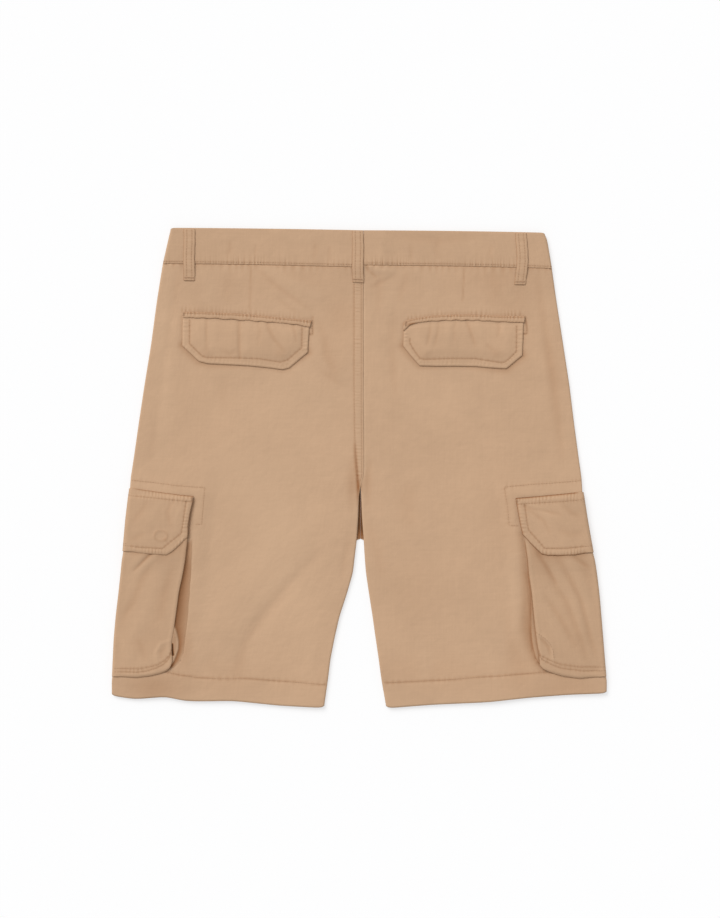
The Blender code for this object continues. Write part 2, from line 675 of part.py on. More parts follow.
def make_back_pocket(side, collection):
    """A welt strip, and the flap that hangs from under it."""
    name = side_name(side)
    welt = WELT_LEFT if side < 0 else WELT_RIGHT
    flap = FLAP_LEFT if side < 0 else FLAP_RIGHT

    def welt_place(position, share):
        x, y = column_point(welt, position, share)
        return x, y, back_panel_top(side, x, y) + GAP + WELT + 0.3 * math.sin(math.pi * share)

    def flap_place(position, share):
        x, y = column_point(flap, position, share)
        across = position / (len(flap) - 1)
        puff = FLAP_PUFF * math.sin(math.pi * share) * (0.45 + 0.55 * math.sin(math.pi * across))
        return x, y, back_panel_top(side, x, y) + STEP + puff

    below = (side * 125, 150, -2000)
    cloth_wall("back_pocket_welt_" + name, collection, range(len(welt)), (0, 0.35, 0.7, 0.96), welt_place,
               below, WELT)
    cloth_wall("back_pocket_flap_" + name, collection, range(len(flap)), FLAP_ROWS, flap_place, below)


def make_back_loops(collection):
    """Three belt loops that bridge the waistband seam on the back."""
    for loop in BACK_LOOPS:
        side = 1 if loop.top_x > 0 else -1

        def place(across, row, loop=loop, side=side):
            share = row / (LOOP_ROWS - 1)
            swing = 4 * share * (1 - share)
            chord = between(loop.top_x, loop.foot_x, share)
            middle = chord + swing * (loop.middle_x - (loop.top_x + loop.foot_x) / 2)
            x = middle + across * LOOP_WIDTH / 2
            y = between(loop.top_y, loop.foot_y, share)
            reaches = (-4, 0, 4) if 0 < share < 1 else (0,)
            under = max(back_surface(side, x, y + reach) for reach in reaches)
            return x, y, under + STEP + LOOP_BOW * math.sin(math.pi * share)

        cloth_wall(loop.name, collection, (-1, 0, 1), range(LOOP_ROWS), place, (loop.top_x, 245, -2000))


def make_front_loops(collection):
    """Two belt loops under the front of the waistband."""
    for side in (-1, 1):
        centre = side * LOOP_PLACE

        def place(across, share, side=side, centre=centre):
            x = centre + across * LOOP_WIDTH / 2
            head = waist_edge_y(WAIST_TOP, side, x) - front_drop(side, x) - 0.5
            foot = front_seam_y(side, x) - FRONT_LOOP_DROP
            return x, between(head, foot, share), 0.0

        cloth_wall("belt_loop_front_" + side_name(side), collection, (-1, 0, 1), (0, 0.25, 0.5, 0.75, 1),
                   place, (centre, 245, 2000))


def make_button(collection):
    """The waist button, a dished disc under the lapped ends of the waistband."""
    centre_x = CENTRE_FRONT + LAP / 2
    seam = front_seam_y(-1, centre_x)
    head = waist_edge_y(WAIST_TOP, -1, centre_x) - front_drop(-1, centre_x)
    bm = bmesh.new()
    bmesh.ops.create_cone(bm, cap_ends=True, segments=28, radius1=BUTTON_RADIUS * MILLIMETRE,
                          radius2=BUTTON_RADIUS * MILLIMETRE, depth=BUTTON_HEIGHT * MILLIMETRE)
    lowest = min(bm.faces, key=lambda face: face.calc_center_median().z)
    bmesh.ops.inset_region(bm, faces=[lowest], thickness=1.8 * MILLIMETRE)
    bmesh.ops.inset_region(bm, faces=[lowest], thickness=0.8 * MILLIMETRE)
    bmesh.ops.translate(bm, verts=lowest.verts[:], vec=(0, 0, 0.4 * MILLIMETRE))
    bmesh.ops.translate(bm, verts=bm.verts[:],
                        vec=Vector((centre_x, (seam + head) / 2, BUTTON_HEIGHT / 2)) * MILLIMETRE)
    add_object("waist_button", bm, collection, BUTTON_COLOUR, 0.45)


def main():
    """Clear the scene and make the shorts."""
    for item in list(bpy.data.objects):
        bpy.data.objects.remove(item, do_unlink=True)
    collection = bpy.data.collections.new("cargo_shorts")
    bpy.context.scene.collection.children.link(collection)
    make_panels(collection)
    for side in (-1, 1):
        make_waistband(side, collection)
        make_cargo_bag(side, collection)
        make_gusset(side, collection)
        make_cargo_flap(side, collection)
        make_back_pocket(side, collection)
    make_back_loops(collection)
    make_front_loops(collection)
    make_button(collection)


main()
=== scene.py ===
"""Cargo shorts in washed cotton twill, laid flat on their front with the back uppermost.

Lengths are written in millimetres and become metres where a vertex is placed.  +X runs from the wearer's
left leg to the right leg, +Y from the hems to the waist, and +Z away from the surface that the front rests
on.  A side is -1 for the wearer's left and +1 for the right; a face is +1 for the back of the garment and
-1 for its front.  Each piece of cloth is a fine grid laid on the form of its solid, pressed by listed
seams and creases, and thickened inwards.
"""
import math
from collections import namedtuple

import bmesh
import bpy
import numpy as np
from bpy.props import FloatProperty, FloatVectorProperty, PointerProperty
from mathutils import Matrix, Vector
from mathutils.bvhtree import BVHTree


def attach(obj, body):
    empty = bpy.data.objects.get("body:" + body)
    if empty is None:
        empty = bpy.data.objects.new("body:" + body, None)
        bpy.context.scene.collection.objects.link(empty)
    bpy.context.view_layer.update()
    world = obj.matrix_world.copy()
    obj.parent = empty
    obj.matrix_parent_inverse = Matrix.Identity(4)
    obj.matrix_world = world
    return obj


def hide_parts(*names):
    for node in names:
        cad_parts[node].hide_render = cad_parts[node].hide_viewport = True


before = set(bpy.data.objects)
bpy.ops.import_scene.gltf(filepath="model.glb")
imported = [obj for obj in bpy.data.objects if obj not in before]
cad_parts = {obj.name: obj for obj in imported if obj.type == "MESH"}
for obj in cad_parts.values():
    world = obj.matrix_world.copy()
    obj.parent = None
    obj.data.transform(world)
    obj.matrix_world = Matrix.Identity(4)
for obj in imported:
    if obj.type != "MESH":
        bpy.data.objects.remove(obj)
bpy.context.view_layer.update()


def rows_of(kind, rows):
    """A table whose rows all have the same named columns."""
    return [kind(*row) for row in rows]


bl_info = {
    "name": "Cargo shorts",
    "version": (1, 0, 0),
    "blender": (4, 5, 0),
    "location": "View3D > Sidebar > Shorts",
    "description": "Cargo shorts in washed cotton twill, laid out flat",
    "category": "Object",
}

MILLIMETRE = 0.001
FULL_TURN = 2 * math.pi

# Layers, as in the solids
CLOTH = 1.1
BAND = 1.5
WELT = 1.3
GAP = 0.3
STEP = CLOTH + GAP
FOLD_STEP = 0.9         # what one layer adds round a fold
AIR = 2.0
WAIST_AIR = 3.0
BODY_TOP = 2 * CLOTH + AIR
BAND_TOP = 2 * BAND + WAIST_AIR
SEAM_GAP = 0.06
FELL_HEIGHT = 0.5       # the felled centre back seam stands this proud
FELL_WIDTH = 10.0
FELL_END = 11.2
FELL_FOOT = 5.0         # and flattens out above the fork of the legs
FELL_FLAT = -30.0
CENTRE_FRONT = 1.35
FRONT_DIP = 12.0
HEM_SHORTER = 1.5
POCKET_SPAN = 82.0
POCKET_SLOPE = 104.0
LAP = 20.0
LAP_LIFT = BAND + GAP
LAP_SLOPE = 22.5
LAP_END = 45.0
BUTTON_SLOPE = 14.0
BUTTON_HEIGHT = 1.8
BUTTON_HOLE_RADIUS = 0.75
BUTTON_LIFT = BUTTON_HEIGHT + GAP
LOOP_WIDTH = 13.0
LOOP_PLACE = 85.0
LOOP_LIFT = 1.0
LOOP_BOW = 0.35
LOOP_END = 22.0
LOOP_SLOPE = 35.0
FRONT_LOOP_DROP = 20.0
WAIST_LEVEL = 233.0
WAIST_SLOPE = 190.0
HEM_LEVEL = -270.0
BAND_LEVEL = 255.0
FLY_FOOT = 60.0
FLY_SHUT = 45.0
FLY_FLAT = 30.0
FORK = -81.0
FORK_END = -83.0
BACK_FORK = -20.0
BACK_LEG = -45.0
BUTTON_SIDE = CENTRE_FRONT - 2.4
LAP_SIDE = CENTRE_FRONT + LAP + 0.2

# The outline: the sides of the garment and the edges that meet at centre back or face the other leg.
Section = namedtuple("Section", "y side_left inner_left inner_right side_right")
SECTIONS = rows_of(Section, [
    (275.0, -216.7, 4.65, 4.95, 211.7), (262.0, -219.7, 4.65, 4.95, 216.0),
    (235.0, -225.8, 4.65, 4.95, 220.5), (193.0, -232.6, 4.65, 4.95, 226.5),
    (142.0, -239.4, 4.65, 4.95, 234.4), (96.0, -246.9, 4.65, 4.95, 241.4), (50.0, -253.8, 5.0, 5.3, 247.1),
    (10.0, -259.5, 5.2, 5.5, 252.4), (-8.0, -262.2, 5.0, 5.3, 254.9), (-15.0, -263.2, 3.4, 3.7, 255.9),
    (-23.0, -264.4, 0.9, 1.2, 257.0), (-30.0, -265.4, -0.4, 2.2, 258.1), (-45.0, -267.2, -0.8, 2.6, 260.4),
    (-58.0, -268.8, -1.3, 3.2, 262.4), (-80.0, -270.7, -2.7, 5.0, 266.2),
    (-102.0, -272.6, -5.4, 6.3, 270.2), (-120.0, -274.4, -7.4, 7.7, 273.2),
    (-145.0, -277.1, -14.6, 11.4, 276.2), (-170.0, -280.1, -22.8, 15.3, 278.3),
    (-195.0, -282.3, -28.5, 18.8, 280.4), (-220.0, -283.5, -33.4, 22.5, 282.4),
    (-243.0, -284.5, -36.1, 25.5, 284.4), (-275.0, -284.5, -40.7, 31.2, 284.2),
])
SECTION_BLUR = 7.0
SEAM_CLOSE = 0.12       # the back panels meet more closely than their solids

Hem = namedtuple("Hem", "x y")
HEM_LEFT = rows_of(Hem, [
    (-283, -261.5), (-258, -265.5), (-222, -262.4), (-202, -267.3), (-184, -267.8), (-146, -267.2),
    (-92, -272.7), (-41, -275.4),
])
HEM_RIGHT = rows_of(Hem, [
    (31, -275.8), (84, -271.7), (138, -269.3), (150, -268.6), (194, -263.8), (240, -260.3), (283, -258.6),
])
HEM_BLUR = 12.0

Edge = namedtuple("Edge", "x_side y_side x_centre y_centre bow")
WAIST_TOP = {-1: Edge(-216.0, 276.0, 4.6, 273.1, 0.5), 1: Edge(211.0, 270.5, 4.6, 273.1, 0.6)}
WAIST_SEAM = {-1: Edge(-225.4, 234.6, 4.6, 230.4, 0.8), 1: Edge(219.3, 229.1, 4.6, 232.9, 0.8)}

# What the side pockets do to the layers, down the leg: how far the front panel is lifted, the back panel
# raised and the bag lifted, then how far the folds of the panels and of the bag are set in.
Level = namedtuple("Level", "y lift rise bag_lift")
LEVELS = rows_of(Level, [
    (10.0, 0.0, 0.0, 0.0), (-15.0, STEP, 1.2, STEP), (-30.0, 2 * STEP, 2.4, STEP),
    (-102.0, 2 * STEP, 2.4, STEP), (-120.0, STEP, 1.2, 0.0), (-243.0, STEP, 1.2, 0.0),
    (-252.0, 0.6, 0.5, 0.0), (-262.0, 0.0, 0.0, 0.0),
])
Inset = namedtuple("Inset", "y panel bag")
INSETS = rows_of(Inset, [
    (-10.0, 0.0, FOLD_STEP), (-22.0, FOLD_STEP, FOLD_STEP), (-29.0, 2 * FOLD_STEP, FOLD_STEP),
    (-97.0, 2 * FOLD_STEP, FOLD_STEP), (-106.0, FOLD_STEP, 0.1), (-236.0, FOLD_STEP, 0.1),
    (-244.0, 0.0, 0.0),
])

Bump = namedtuple("Bump", "y height")
BUTTON_RISE = rows_of(Bump, [
    (275, 0.4), (263, 0.9), (243, 1.4), (233, 1.8), (222, 0.9), (200, 0),
])

# Side pockets
BagEdge = namedtuple("BagEdge", "y left right puff")
BAG_EDGE = rows_of(BagEdge, [
    (-38, -192.2, 179.8, 0.6), (-58, -195.0, 183.3, 1.4), (-80, -196.8, 189.4, 1.6),
    (-104, -199.4, 193.0, 1.8), (-122, -202.5, 194.6, 2.1), (-142, -206.8, 197.6, 2.4),
    (-158, -208.9, 199.2, 2.4), (-175, -211.3, 200.8, 2.4), (-187, -212.9, 202.2, 2.3),
    (-198, -215.0, 203.6, 2.2), (-207.5, -215.3, 205.2, 2.0), (-215.5, -214.7, 206.4, 1.9),
    (-243, -212.5, 207.8, 1.5),
])
BagFoot = namedtuple("BagFoot", "share left right")
BAG_FOOT = rows_of(BagFoot, [
    (0, -239, -239), (0.38, -240.6, -241.7), (0.62, -238.4, -239.4), (0.75, -236.4, -236.8),
    (0.85, -234, -234.2), (0.96, -228.2, -229.8), (1, -220.5, -225.0),
])
BAG_CORNER = -195.0
BAG_HEAD = -38.0
PUFF_SHARE = 0.3
FlapEdge = namedtuple("FlapEdge", "y left right")
FLAP_EDGE = rows_of(FlapEdge, [
    (-33, -190.1, 178.9), (-37, -190.7, 179.5), (-51, -194.0, 181.8), (-65, -196.4, 184.3),
    (-76.5, -196.5, 187.0), (-79, -196.9, 187.6), (-101, -201.5, 194.6),
])
FlapSpan = namedtuple("FlapSpan", "share top_left foot_left top_right foot_right")
FLAP_SPAN = rows_of(FlapSpan, [
    (0.00, -23.0, -95.0, -27.3, -96.4), (0.25, -25.5, -97.4, -29.2, -99.6),
    (0.50, -28.0, -99.0, -31.0, -100.3), (0.70, -29.8, -99.7, -32.4, -100.0),
    (0.79, -30.6, -96.0, -33.0, -98.4), (0.90, -31.4, -87.6, -33.6, -87.5),
    (1.00, -32.0, -79.0, -34.2, -75.6),
])
Gusset = namedtuple("Gusset", "sewn_x sewn_y tucked_x tucked_y")
GUSSETS = {
    -1: rows_of(Gusset, [
        (-190.5, -78.0, -203.5, -80.0), (-190.9, -92.0, -205.0, -94.0), (-191.2, -102.0, -206.0, -102.0),
        (-192.2, -120.0, -208.6, -120.0), (-193.8, -145.0, -213.4, -145.0),
        (-196.3, -174.5, -217.6, -173.0), (-199.2, -197.5, -220.6, -192.0),
        (-200.8, -211.3, -222.0, -203.0), (-204.0, -221.0, -225.0, -212.0),
        (-211.0, -228.0, -229.0, -218.0), (-220.0, -232.5, -234.0, -223.0),
        (-240.0, -234.5, -243.0, -225.0), (-256.0, -235.5, -256.0, -226.0),
    ]),
    1: rows_of(Gusset, [
        (187.0, -76.0, 195.5, -79.0), (189.4, -92.0, 197.5, -94.0), (190.4, -102.0, 198.6, -102.0),
        (192.2, -120.0, 200.6, -120.0), (195.2, -142.0, 204.2, -142.0), (196.4, -160.0, 206.0, -160.0),
        (196.4, -187.0, 209.0, -184.0), (197.5, -199.0, 211.0, -193.0), (199.0, -208.0, 213.0, -200.0),
        (201.5, -217.0, 216.0, -207.0), (204.5, -223.0, 219.0, -212.0), (212.0, -230.0, 224.0, -219.0),
        (232.0, -234.5, 238.0, -224.0), (254.0, -236.0, 254.0, -226.0),
    ]),
}

# Back pockets: columns across the strip (welt) and the flap under it.
Column = namedtuple("Column", "top_x top_y foot_x foot_y")
WELTS = {
    -1: rows_of(Column, [
        (-203.0, 179.6, -202.6, 173.0), (-170.0, 178.8, -170.0, 172.2), (-137.0, 177.4, -137.0, 170.3),
        (-114.0, 175.4, -114.0, 168.7), (-91.0, 172.8, -91.0, 166.9), (-72.0, 171.0, -72.0, 165.0),
        (-54.6, 169.4, -56.4, 161.8),
    ]),
    1: rows_of(Column, [
        (49.6, 166.4, 50.4, 157.0), (55.5, 170.2, 57.5, 164.4), (69.8, 172.9, 70.6, 167.9),
        (86.0, 175.2, 86.0, 169.2), (110.0, 176.4, 110.0, 170.0), (135.0, 176.2, 135.0, 169.8),
        (162.0, 174.8, 162.0, 168.2), (190.6, 175.0, 189.6, 167.3),
    ]),
}
FLAPS = {
    -1: rows_of(Column, [
        (-203.2, 172.6, -203.6, 140.8), (-183.0, 172.1, -184.4, 122.6), (-174.0, 171.9, -174.0, 119.9),
        (-146.0, 170.4, -146.0, 118.6), (-126.0, 169.2, -126.0, 117.4), (-104.0, 167.5, -103.0, 115.1),
        (-90.0, 166.4, -88.0, 113.0), (-80.0, 165.4, -80.5, 114.9), (-57.2, 161.6, -59.0, 133.0),
    ]),
    1: rows_of(Column, [
        (50.3, 156.2, 50.0, 140.2), (58.2, 164.0, 59.8, 128.2), (70.6, 167.4, 69.2, 117.5),
        (90.0, 168.9, 89.0, 116.9), (112.0, 169.5, 112.0, 117.0), (134.0, 169.3, 134.0, 116.7),
        (152.0, 168.4, 152.0, 115.0), (167.6, 167.4, 169.0, 114.1), (188.8, 166.8, 187.4, 129.6),
    ]),
}
FLAP_PUFF = 1.2
FLAP_HEAD = 0.85        # a flap starts flat on the panel
FLAP_TUCK = 1.5         # and this far up under its strip
EDGE_SINK = 0.6         # the edge of a flap comes down to what it lies on
EDGE_RIPPLE = 0.22      # puckers between a flap's edge and its row of stitches

# Belt loops on the back: X of the middle line at the top, half way and at the foot, and the ends.
Loop = namedtuple("Loop", "name side top_x middle_x foot_x top_y foot_y")
BACK_LOOPS = rows_of(Loop, [
    ("belt_loop_back_left", -1, -195.0, -195.2, -195.4, 274.6, 215.4),
    ("belt_loop_back_centre", -1, -1.5, -1.6, -1.5, 272.6, 213.2),
    ("belt_loop_back_right", 1, 185.4, 187.0, 184.6, 269.8, 210.8),
])

# Broad soft folds of the back panels, and the gentle waves of the whole back.  A crease is a path, its
# height (a trough is negative) and its half width.
Crease = namedtuple("Crease", "points height width")
FOLDS = rows_of(Crease, [
    ([(-34, -74), (-69, -116), (-100, -152), (-120, -190), (-138, -234)], -1.2, 15),
    ([(-70, -66), (-110, -110), (-138, -150), (-152, -200)], 0.9, 20),
    ([(40, -86), (60, -135), (78, -180)], -0.7, 18), ([(88, -70), (105, -130), (122, -200)], 0.8, 24),
    ([(-50, 64), (-105, 40), (-160, 16)], 0.5, 30),
])
Wave = namedtuple("Wave", "height length turn phase")
BACK_WAVES = rows_of(Wave, [
    (0.22, 148.0, 0.35, 0.4), (0.18, 96.0, 1.25, 2.1), (0.14, 71.0, 2.30, 4.0), (0.12, 117.0, 2.85, 1.3),
    (0.10, 53.0, 0.80, 5.2),
])

# Creases of the panels, from the waist down
PANEL_CREASES = {
    -1: [
        Crease([(-20, -80), (-67, -118), (-94, -152), (-114, -175), (-130, -198), (-137, -222), (-143, -240)],
               -0.65, 6.5),
        Crease([(-52, -96), (-88, -128), (-118, -158), (-142, -196)], 0.5, 9),
        Crease([(-10, -72), (-16, -100), (-20, -130)], -0.35, 4.5),
        Crease([(-22, -66), (-36, -96), (-48, -118)], 0.3, 6),
        Crease([(-121, 233), (-98, 211), (-74, 194), (-53, 179)], -0.32, 2.6),
        Crease([(-112, 236), (-84, 214), (-44, 194)], 0.4, 6),
        Crease([(-96, 196), (-78, 182), (-66, 174)], -0.25, 3),
        Crease([(-48, 172), (-40, 150), (-38, 128), (-24, 104)], -0.4, 5),
        Crease([(-56, 124), (-40, 108), (-14, 92)], -0.35, 4),
        Crease([(-207, 232), (-220, 142), (-233, 56), (-239, 4)], -0.5, 5),
        Crease([(-9, 14), (-7, -20), (-9, -54)], -0.45, 4.5),
        Crease([(-146, 228), (-152, 204), (-150, 184)], -0.2, 6),
        Crease([(-176, 226), (-170, 208), (-174, 186)], 0.2, 7),
        Crease([(-40, 150), (-32, 118), (-36, 84)], -0.25, 9),
        Crease([(-222, 168), (-226, 130), (-236, 96)], -0.25, 7),
        Crease([(-150, 112), (-156, 84), (-150, 58)], -0.2, 8),
        Crease([(-96, 108), (-92, 82), (-98, 58)], 0.2, 8),
        Crease([(-60, -180), (-54, -212), (-60, -244)], 0.3, 9),
        Crease([(-176, -150), (-168, -190), (-172, -236)], -0.25, 8),
    ],
    1: rows_of(Crease, [
        ([(6, 233), (11, 227), (20, 218)], -0.9, 1.7), ([(9, 234), (22, 227), (42, 226)], 0.45, 2.8),
        ([(12, 206), (26, 214), (44, 222)], -0.4, 3.2), ([(19, 228), (23, 204), (21, 176)], -0.25, 4),
        ([(203, 226), (216, 142), (228, 56), (234, 6)], -0.5, 5),
        ([(12, 14), (9, -18), (10, -48)], -0.4, 4),
        ([(176, -96), (178, -140), (180, -186), (190, -222)], 0.7, 7),
        ([(187, -100), (190, -140), (192, -186), (200, -218)], -0.6, 5),
        ([(39, 186), (38, 130), (42, 78)], -0.3, 5), ([(60, -14), (54, -40), (58, -70)], -0.3, 10),
        ([(33, 230), (37, 202), (33, 168)], 0.25, 6), ([(56, 230), (52, 212), (45, 190)], -0.25, 4),
        ([(78, 228), (84, 208), (80, 188)], 0.2, 7), ([(150, 226), (156, 206), (150, 186)], -0.2, 6),
        ([(176, 222), (172, 206), (176, 190)], 0.2, 6), ([(92, 110), (95, 88), (92, 66)], -0.25, 5),
        ([(141, 110), (138, 86), (142, 60)], -0.25, 6), ([(38, 128), (42, 84), (37, 40)], -0.22, 8),
        ([(10, -62), (20, -92), (26, -128)], -0.3, 6), ([(214, 150), (220, 118), (230, 88)], -0.25, 7),
        ([(70, -196), (78, -222), (72, -250)], 0.25, 8),
    ]),
}

# Seams press a groove into the cloth and pucker it on both sides.  depth, pucker and reach are in
# millimetres, and wave is the length of one pucker.
Seam = namedtuple("Seam", "points depth pucker wave reach")
PANEL_SEAMS = {
    -1: [
        Seam([(-283, -232), (-223, -233.7), (-200, -238.3), (-183, -240.6), (-166, -241.7), (-126, -241.7),
              (-36, -248.8)], 0.30, 0.12, 7.0, 3.2),
        Seam([(-262, -14.0), (-241, -15.8), (-206, -20.4), (-177.4, -22.1), (-180.9, -64.1), (-192, -65.2)],
             0.14, 0.12, 4.6, 4.2),
        Seam([(-124.0, 234), (-125.1, 205), (-126.8, 180)], 0.2, 0.0, 6.0, 3.0),
        Seam([(-226, 233.5), (4, 230.5)], 0.0, 0.14, 8.5, 6.0),
        Seam([(-206, 181.5), (-170, 180.6), (-137, 179.2), (-91, 174.6), (-54, 171.2)], 0.12, 0.26, 4.6, 4.5),
        Seam([(-53.4, 176), (-54.0, 171), (-54.0, 153.9), (-62, 153.9)], 0.42, 0.0, 5.0, 2.0),
    ],
    1: [
        Seam([(28, -246.4), (92.8, -243.5), (138.8, -240.0), (161.8, -238.9), (184.8, -236.6),
              (208, -234.2), (283, -231)], 0.30, 0.12, 7.0, 3.2),
        Seam([(256, -14.0), (230.8, -16.3), (196.3, -18.6), (166.4, -21.5), (169.9, -42.2),
              (172.2, -65.2), (184, -66.4)], 0.14, 0.12, 4.6, 4.2),
        Seam([(120.4, 231), (119.8, 216.5), (118.7, 190)], 0.2, 0.0, 6.0, 3.0),
        Seam([(4, 231), (220, 228)], 0.0, 0.14, 8.5, 6.0),
        Seam([(53.7, 171.2), (69.8, 174.6), (84.8, 176.9), (104, 178.1), (133, 178.1), (162, 176.6),
              (191, 176.9)], 0.12, 0.26, 4.6, 4.5),
        Seam([(4.75, 233), (4.75, 50), (4.7, 10), (2.9, -15)], 0.0, 0.10, 5.0, 3.5),
        Seam([(190.6, 175), (191.6, 169), (192.4, 163), (192.4, 154.6), (186, 153.9)], 0.40, 0.0, 5.0, 2.0),
    ],
}
# The two rows of the felled seam, which run together towards the fork.
FELL_ROWS = [
    Seam([(2.1, 213), (2.1, 60), (2.5, 43), (2.5, 3), (2.7, -8), (0.6, -17)], 0.13, 0.06, 5.2, 2.2),
    Seam([(-6.0, 213), (-6.0, 100), (-5.3, 43), (-4.7, 26), (-4.4, 15), (-3.2, 3), (-2.3, -8), (-1.9, -18)],
         0.17, 0.06, 4.7, 2.2),
]
FELL_LADDER = Seam([(-2.0, 213), (-1.8, 60), (-1.2, 8), (-0.4, -10)], 0.0, 0.32, 3.7, 2.9)
FORK_VALLEY = Crease([(-5.2, 30), (-3.4, 3), (-2.4, -8), (-1.6, -20), (-1.5, -46)], -0.8, 2.0)

# Patches of the back panels, lighter where the value is positive: fading of the cloth, painted light
# along the lit left side and below the back flaps, and painted shade beside the fork and the gussets
# and over broad areas.
Patch = namedtuple("Patch", "x y half_width half_length fade")
PATCHES = {
    -1: rows_of(Patch, [
        (-98, -92, 52, 120, 0.34), (-62, 84, 60, 34, 0.14), (-178, -160, 20, 70, 0.10),
        (-22, 128, 16, 66, -0.05), (-120, 208, 110, 20, -0.03), (-225, 130, 11, 110, 0.32),
        (-236, -252, 30, 16, -0.22), (-10, -20, 7, 16, -0.14), (-202, -206, 10, 20, -0.22),
        (-0.6, -21, 2.4, 7, -0.45), (-130, -240, 110, 26, -0.10), (-200, -176, 15, 30, -0.09),
        (-103, -178, 26, 40, -0.09), (-186, 172, 14, 16, -0.09), (-20, 175, 20, 20, -0.08),
        (-70, 222, 60, 14, -0.05), (-112, 118, 42, 8, 0.18), (-140, -8, 40, 26, 0.15),
    ]),
    1: rows_of(Patch, [
        (92, 84, 62, 34, 0.12), (116, 208, 110, 20, -0.03), (168, -60, 26, 60, -0.05),
        (60, -140, 40, 40, -0.05), (150, -206, 30, 34, 0.05), (226, 110, 8, 60, -0.05),
        (240, -252, 44, 16, -0.14), (9, -16, 5, 15, -0.14), (185, -196, 16, 46, -0.22),
        (1.4, -22, 2.2, 7, -0.40), (80, -236, 120, 22, -0.07), (176, 178, 26, 70, -0.09),
        (150, 222, 40, 16, -0.07), (112, 118, 40, 8, 0.12),
    ]),
}


# Reading the tables

def between(start, end, share):
    """Value a share of the way from start to end."""
    return start + (end - start) * share


BLUR_STEPS = ((-1.0, 0.1), (-0.5, 0.2), (0.0, 0.4), (0.5, 0.2), (1.0, 0.1))


def read(rows, key, name, at, blur=0.0):
    """Read the column called name where the column called key has these values, corners softened."""
    ordered = sorted(rows, key=lambda row: getattr(row, key))
    keys = [getattr(row, key) for row in ordered]
    values = [getattr(row, name) for row in ordered]
    at = np.asarray(at, dtype=float)
    return sum(weight * np.interp(at + step * blur, keys, values) for step, weight in BLUR_STEPS)


def ramp(value, full, nothing):
    """1 at and beyond full, 0 at and beyond nothing, eased between them."""
    share = np.clip((value - nothing) / (full - nothing), 0.0, 1.0)
    return share * share * (3 - 2 * share)


def side_name(side):
    """The wearer's side in words."""
    return "left" if side < 0 else "right"


def near_path(points, x, y):
    """Distance from a path, the length along it to the nearest place, and its whole length."""
    distance = np.full(np.shape(x), np.inf)
    along = np.zeros(np.shape(x))
    run = 0.0
    for (x1, y1), (x2, y2) in zip(points, points[1:]):
        length = math.hypot(x2 - x1, y2 - y1)
        share = np.clip(((x - x1) * (x2 - x1) + (y - y1) * (y2 - y1)) / length ** 2, 0.0, 1.0)
        here = np.hypot(x - between(x1, x2, share), y - between(y1, y2, share))
        nearer = here < distance
        distance = np.where(nearer, here, distance)
        along = np.where(nearer, run + share * length, along)
        run += length
    return distance, along, run


def crease_height(creases, x, y):
    """Sum of the creases, each swelling from its ends to its middle."""
    total = np.zeros(np.shape(x))
    for crease in creases:
        distance, along, length = near_path(crease.points, x, y)
        swell = np.sqrt(np.sin(math.pi * np.clip(along / length, 0.0, 1.0)).clip(0.0, 1.0))
        total += crease.height * swell * np.exp(-(distance / crease.width) ** 2)
    return total


def uneven(along, wave):
    """Puckers of an uneven length and depth, from -1 to 1."""
    drift = 1.3 * np.sin(along / (wave * 1.9)) + 0.8 * np.sin(along / (wave * 0.83))
    phase = FULL_TURN * along / wave + drift
    return np.sin(phase) * (0.62 + 0.38 * np.sin(along / (wave * 1.37) + 0.7))


def seam_press(seams, x, y):
    """Height that the seams press and pucker, and the tone along them: the seam's worn tone with painted
    shade in the groove and painted shade and highlight over the puckers.
    """
    height = np.zeros(np.shape(x))
    wear = np.zeros(np.shape(x))
    for seam in seams:
        distance, along, length = near_path(seam.points, x, y)
        inside = ramp(along, 3.0, 0.0) * ramp(length - along, 3.0, 0.0)
        ripple = uneven(along, seam.wave) * np.exp(-(distance / seam.reach) ** 2) * inside
        groove = np.exp(-(distance / GROOVE_WIDTH) ** 2) * inside
        height += seam.pucker * ripple - seam.depth * groove
        wear += seam.pucker * ripple * PUCKER_SHADE_AND_WEAR - seam.depth * groove * GROOVE_SHADE_AND_WEAR
    return height, wear


GROOVE_WIDTH = 1.1
# Painted shade in a seam's groove, and painted shade and highlight over its puckers, for each millimetre of
# depth and pucker, together with the seam's worn tone.
PUCKER_SHADE_AND_WEAR = 0.9
GROOVE_SHADE_AND_WEAR = 1.1


# Edges of the garment

def side_x(side, y):
    """Outermost X of the garment on one side."""
    return read(SECTIONS, "y", "side_" + side_name(side), y, SECTION_BLUR)


def back_inner_x(side, y):
    """Edge of a back panel at the centre seam or along the inner leg."""
    return read(SECTIONS, "y", "inner_" + side_name(side), y, SECTION_BLUR) - side * SEAM_CLOSE


def patch_fade_and_shade(patches, x, y):
    """Sum of the patches: fading of the cloth, painted shade and painted light."""
    return sum(patch.fade * np.exp(-((x - patch.x) / patch.half_width) ** 2
                                   - ((y - patch.y) / patch.half_length) ** 2) for patch in patches)


def front_inner_x(side, y):
    """Edge of a front panel: at the lap, then the centre front, then along the inner leg."""
    if side < 0:
        centre = between(CENTRE_FRONT, CENTRE_FRONT + LAP, ramp(y, FLY_FOOT, FLY_SHUT))
    else:
        centre = CENTRE_FRONT + SEAM_GAP
    return between(centre, back_inner_x(side, y), ramp(y, FORK_END, FORK))


def waist_edge_y(edges, side, x):
    """Height of a waistband edge on the back."""
    edge = edges[side]
    share = (x - edge.x_side) / (edge.x_centre - edge.x_side)
    return between(edge.y_side, edge.y_centre, share) + 4 * edge.bow * share * (1 - share)


def front_drop(side, x):
    """How far the front of the waist lies below the back."""
    reach = abs(x - CENTRE_FRONT) / abs(side_x(side, BAND_LEVEL) - CENTRE_FRONT)
    return FRONT_DIP * np.maximum(0.0, 1 - reach * reach)


def front_seam_y(side, x):
    """Waistband seam on the front."""
    return waist_edge_y(WAIST_SEAM, side, x) - front_drop(side, x)


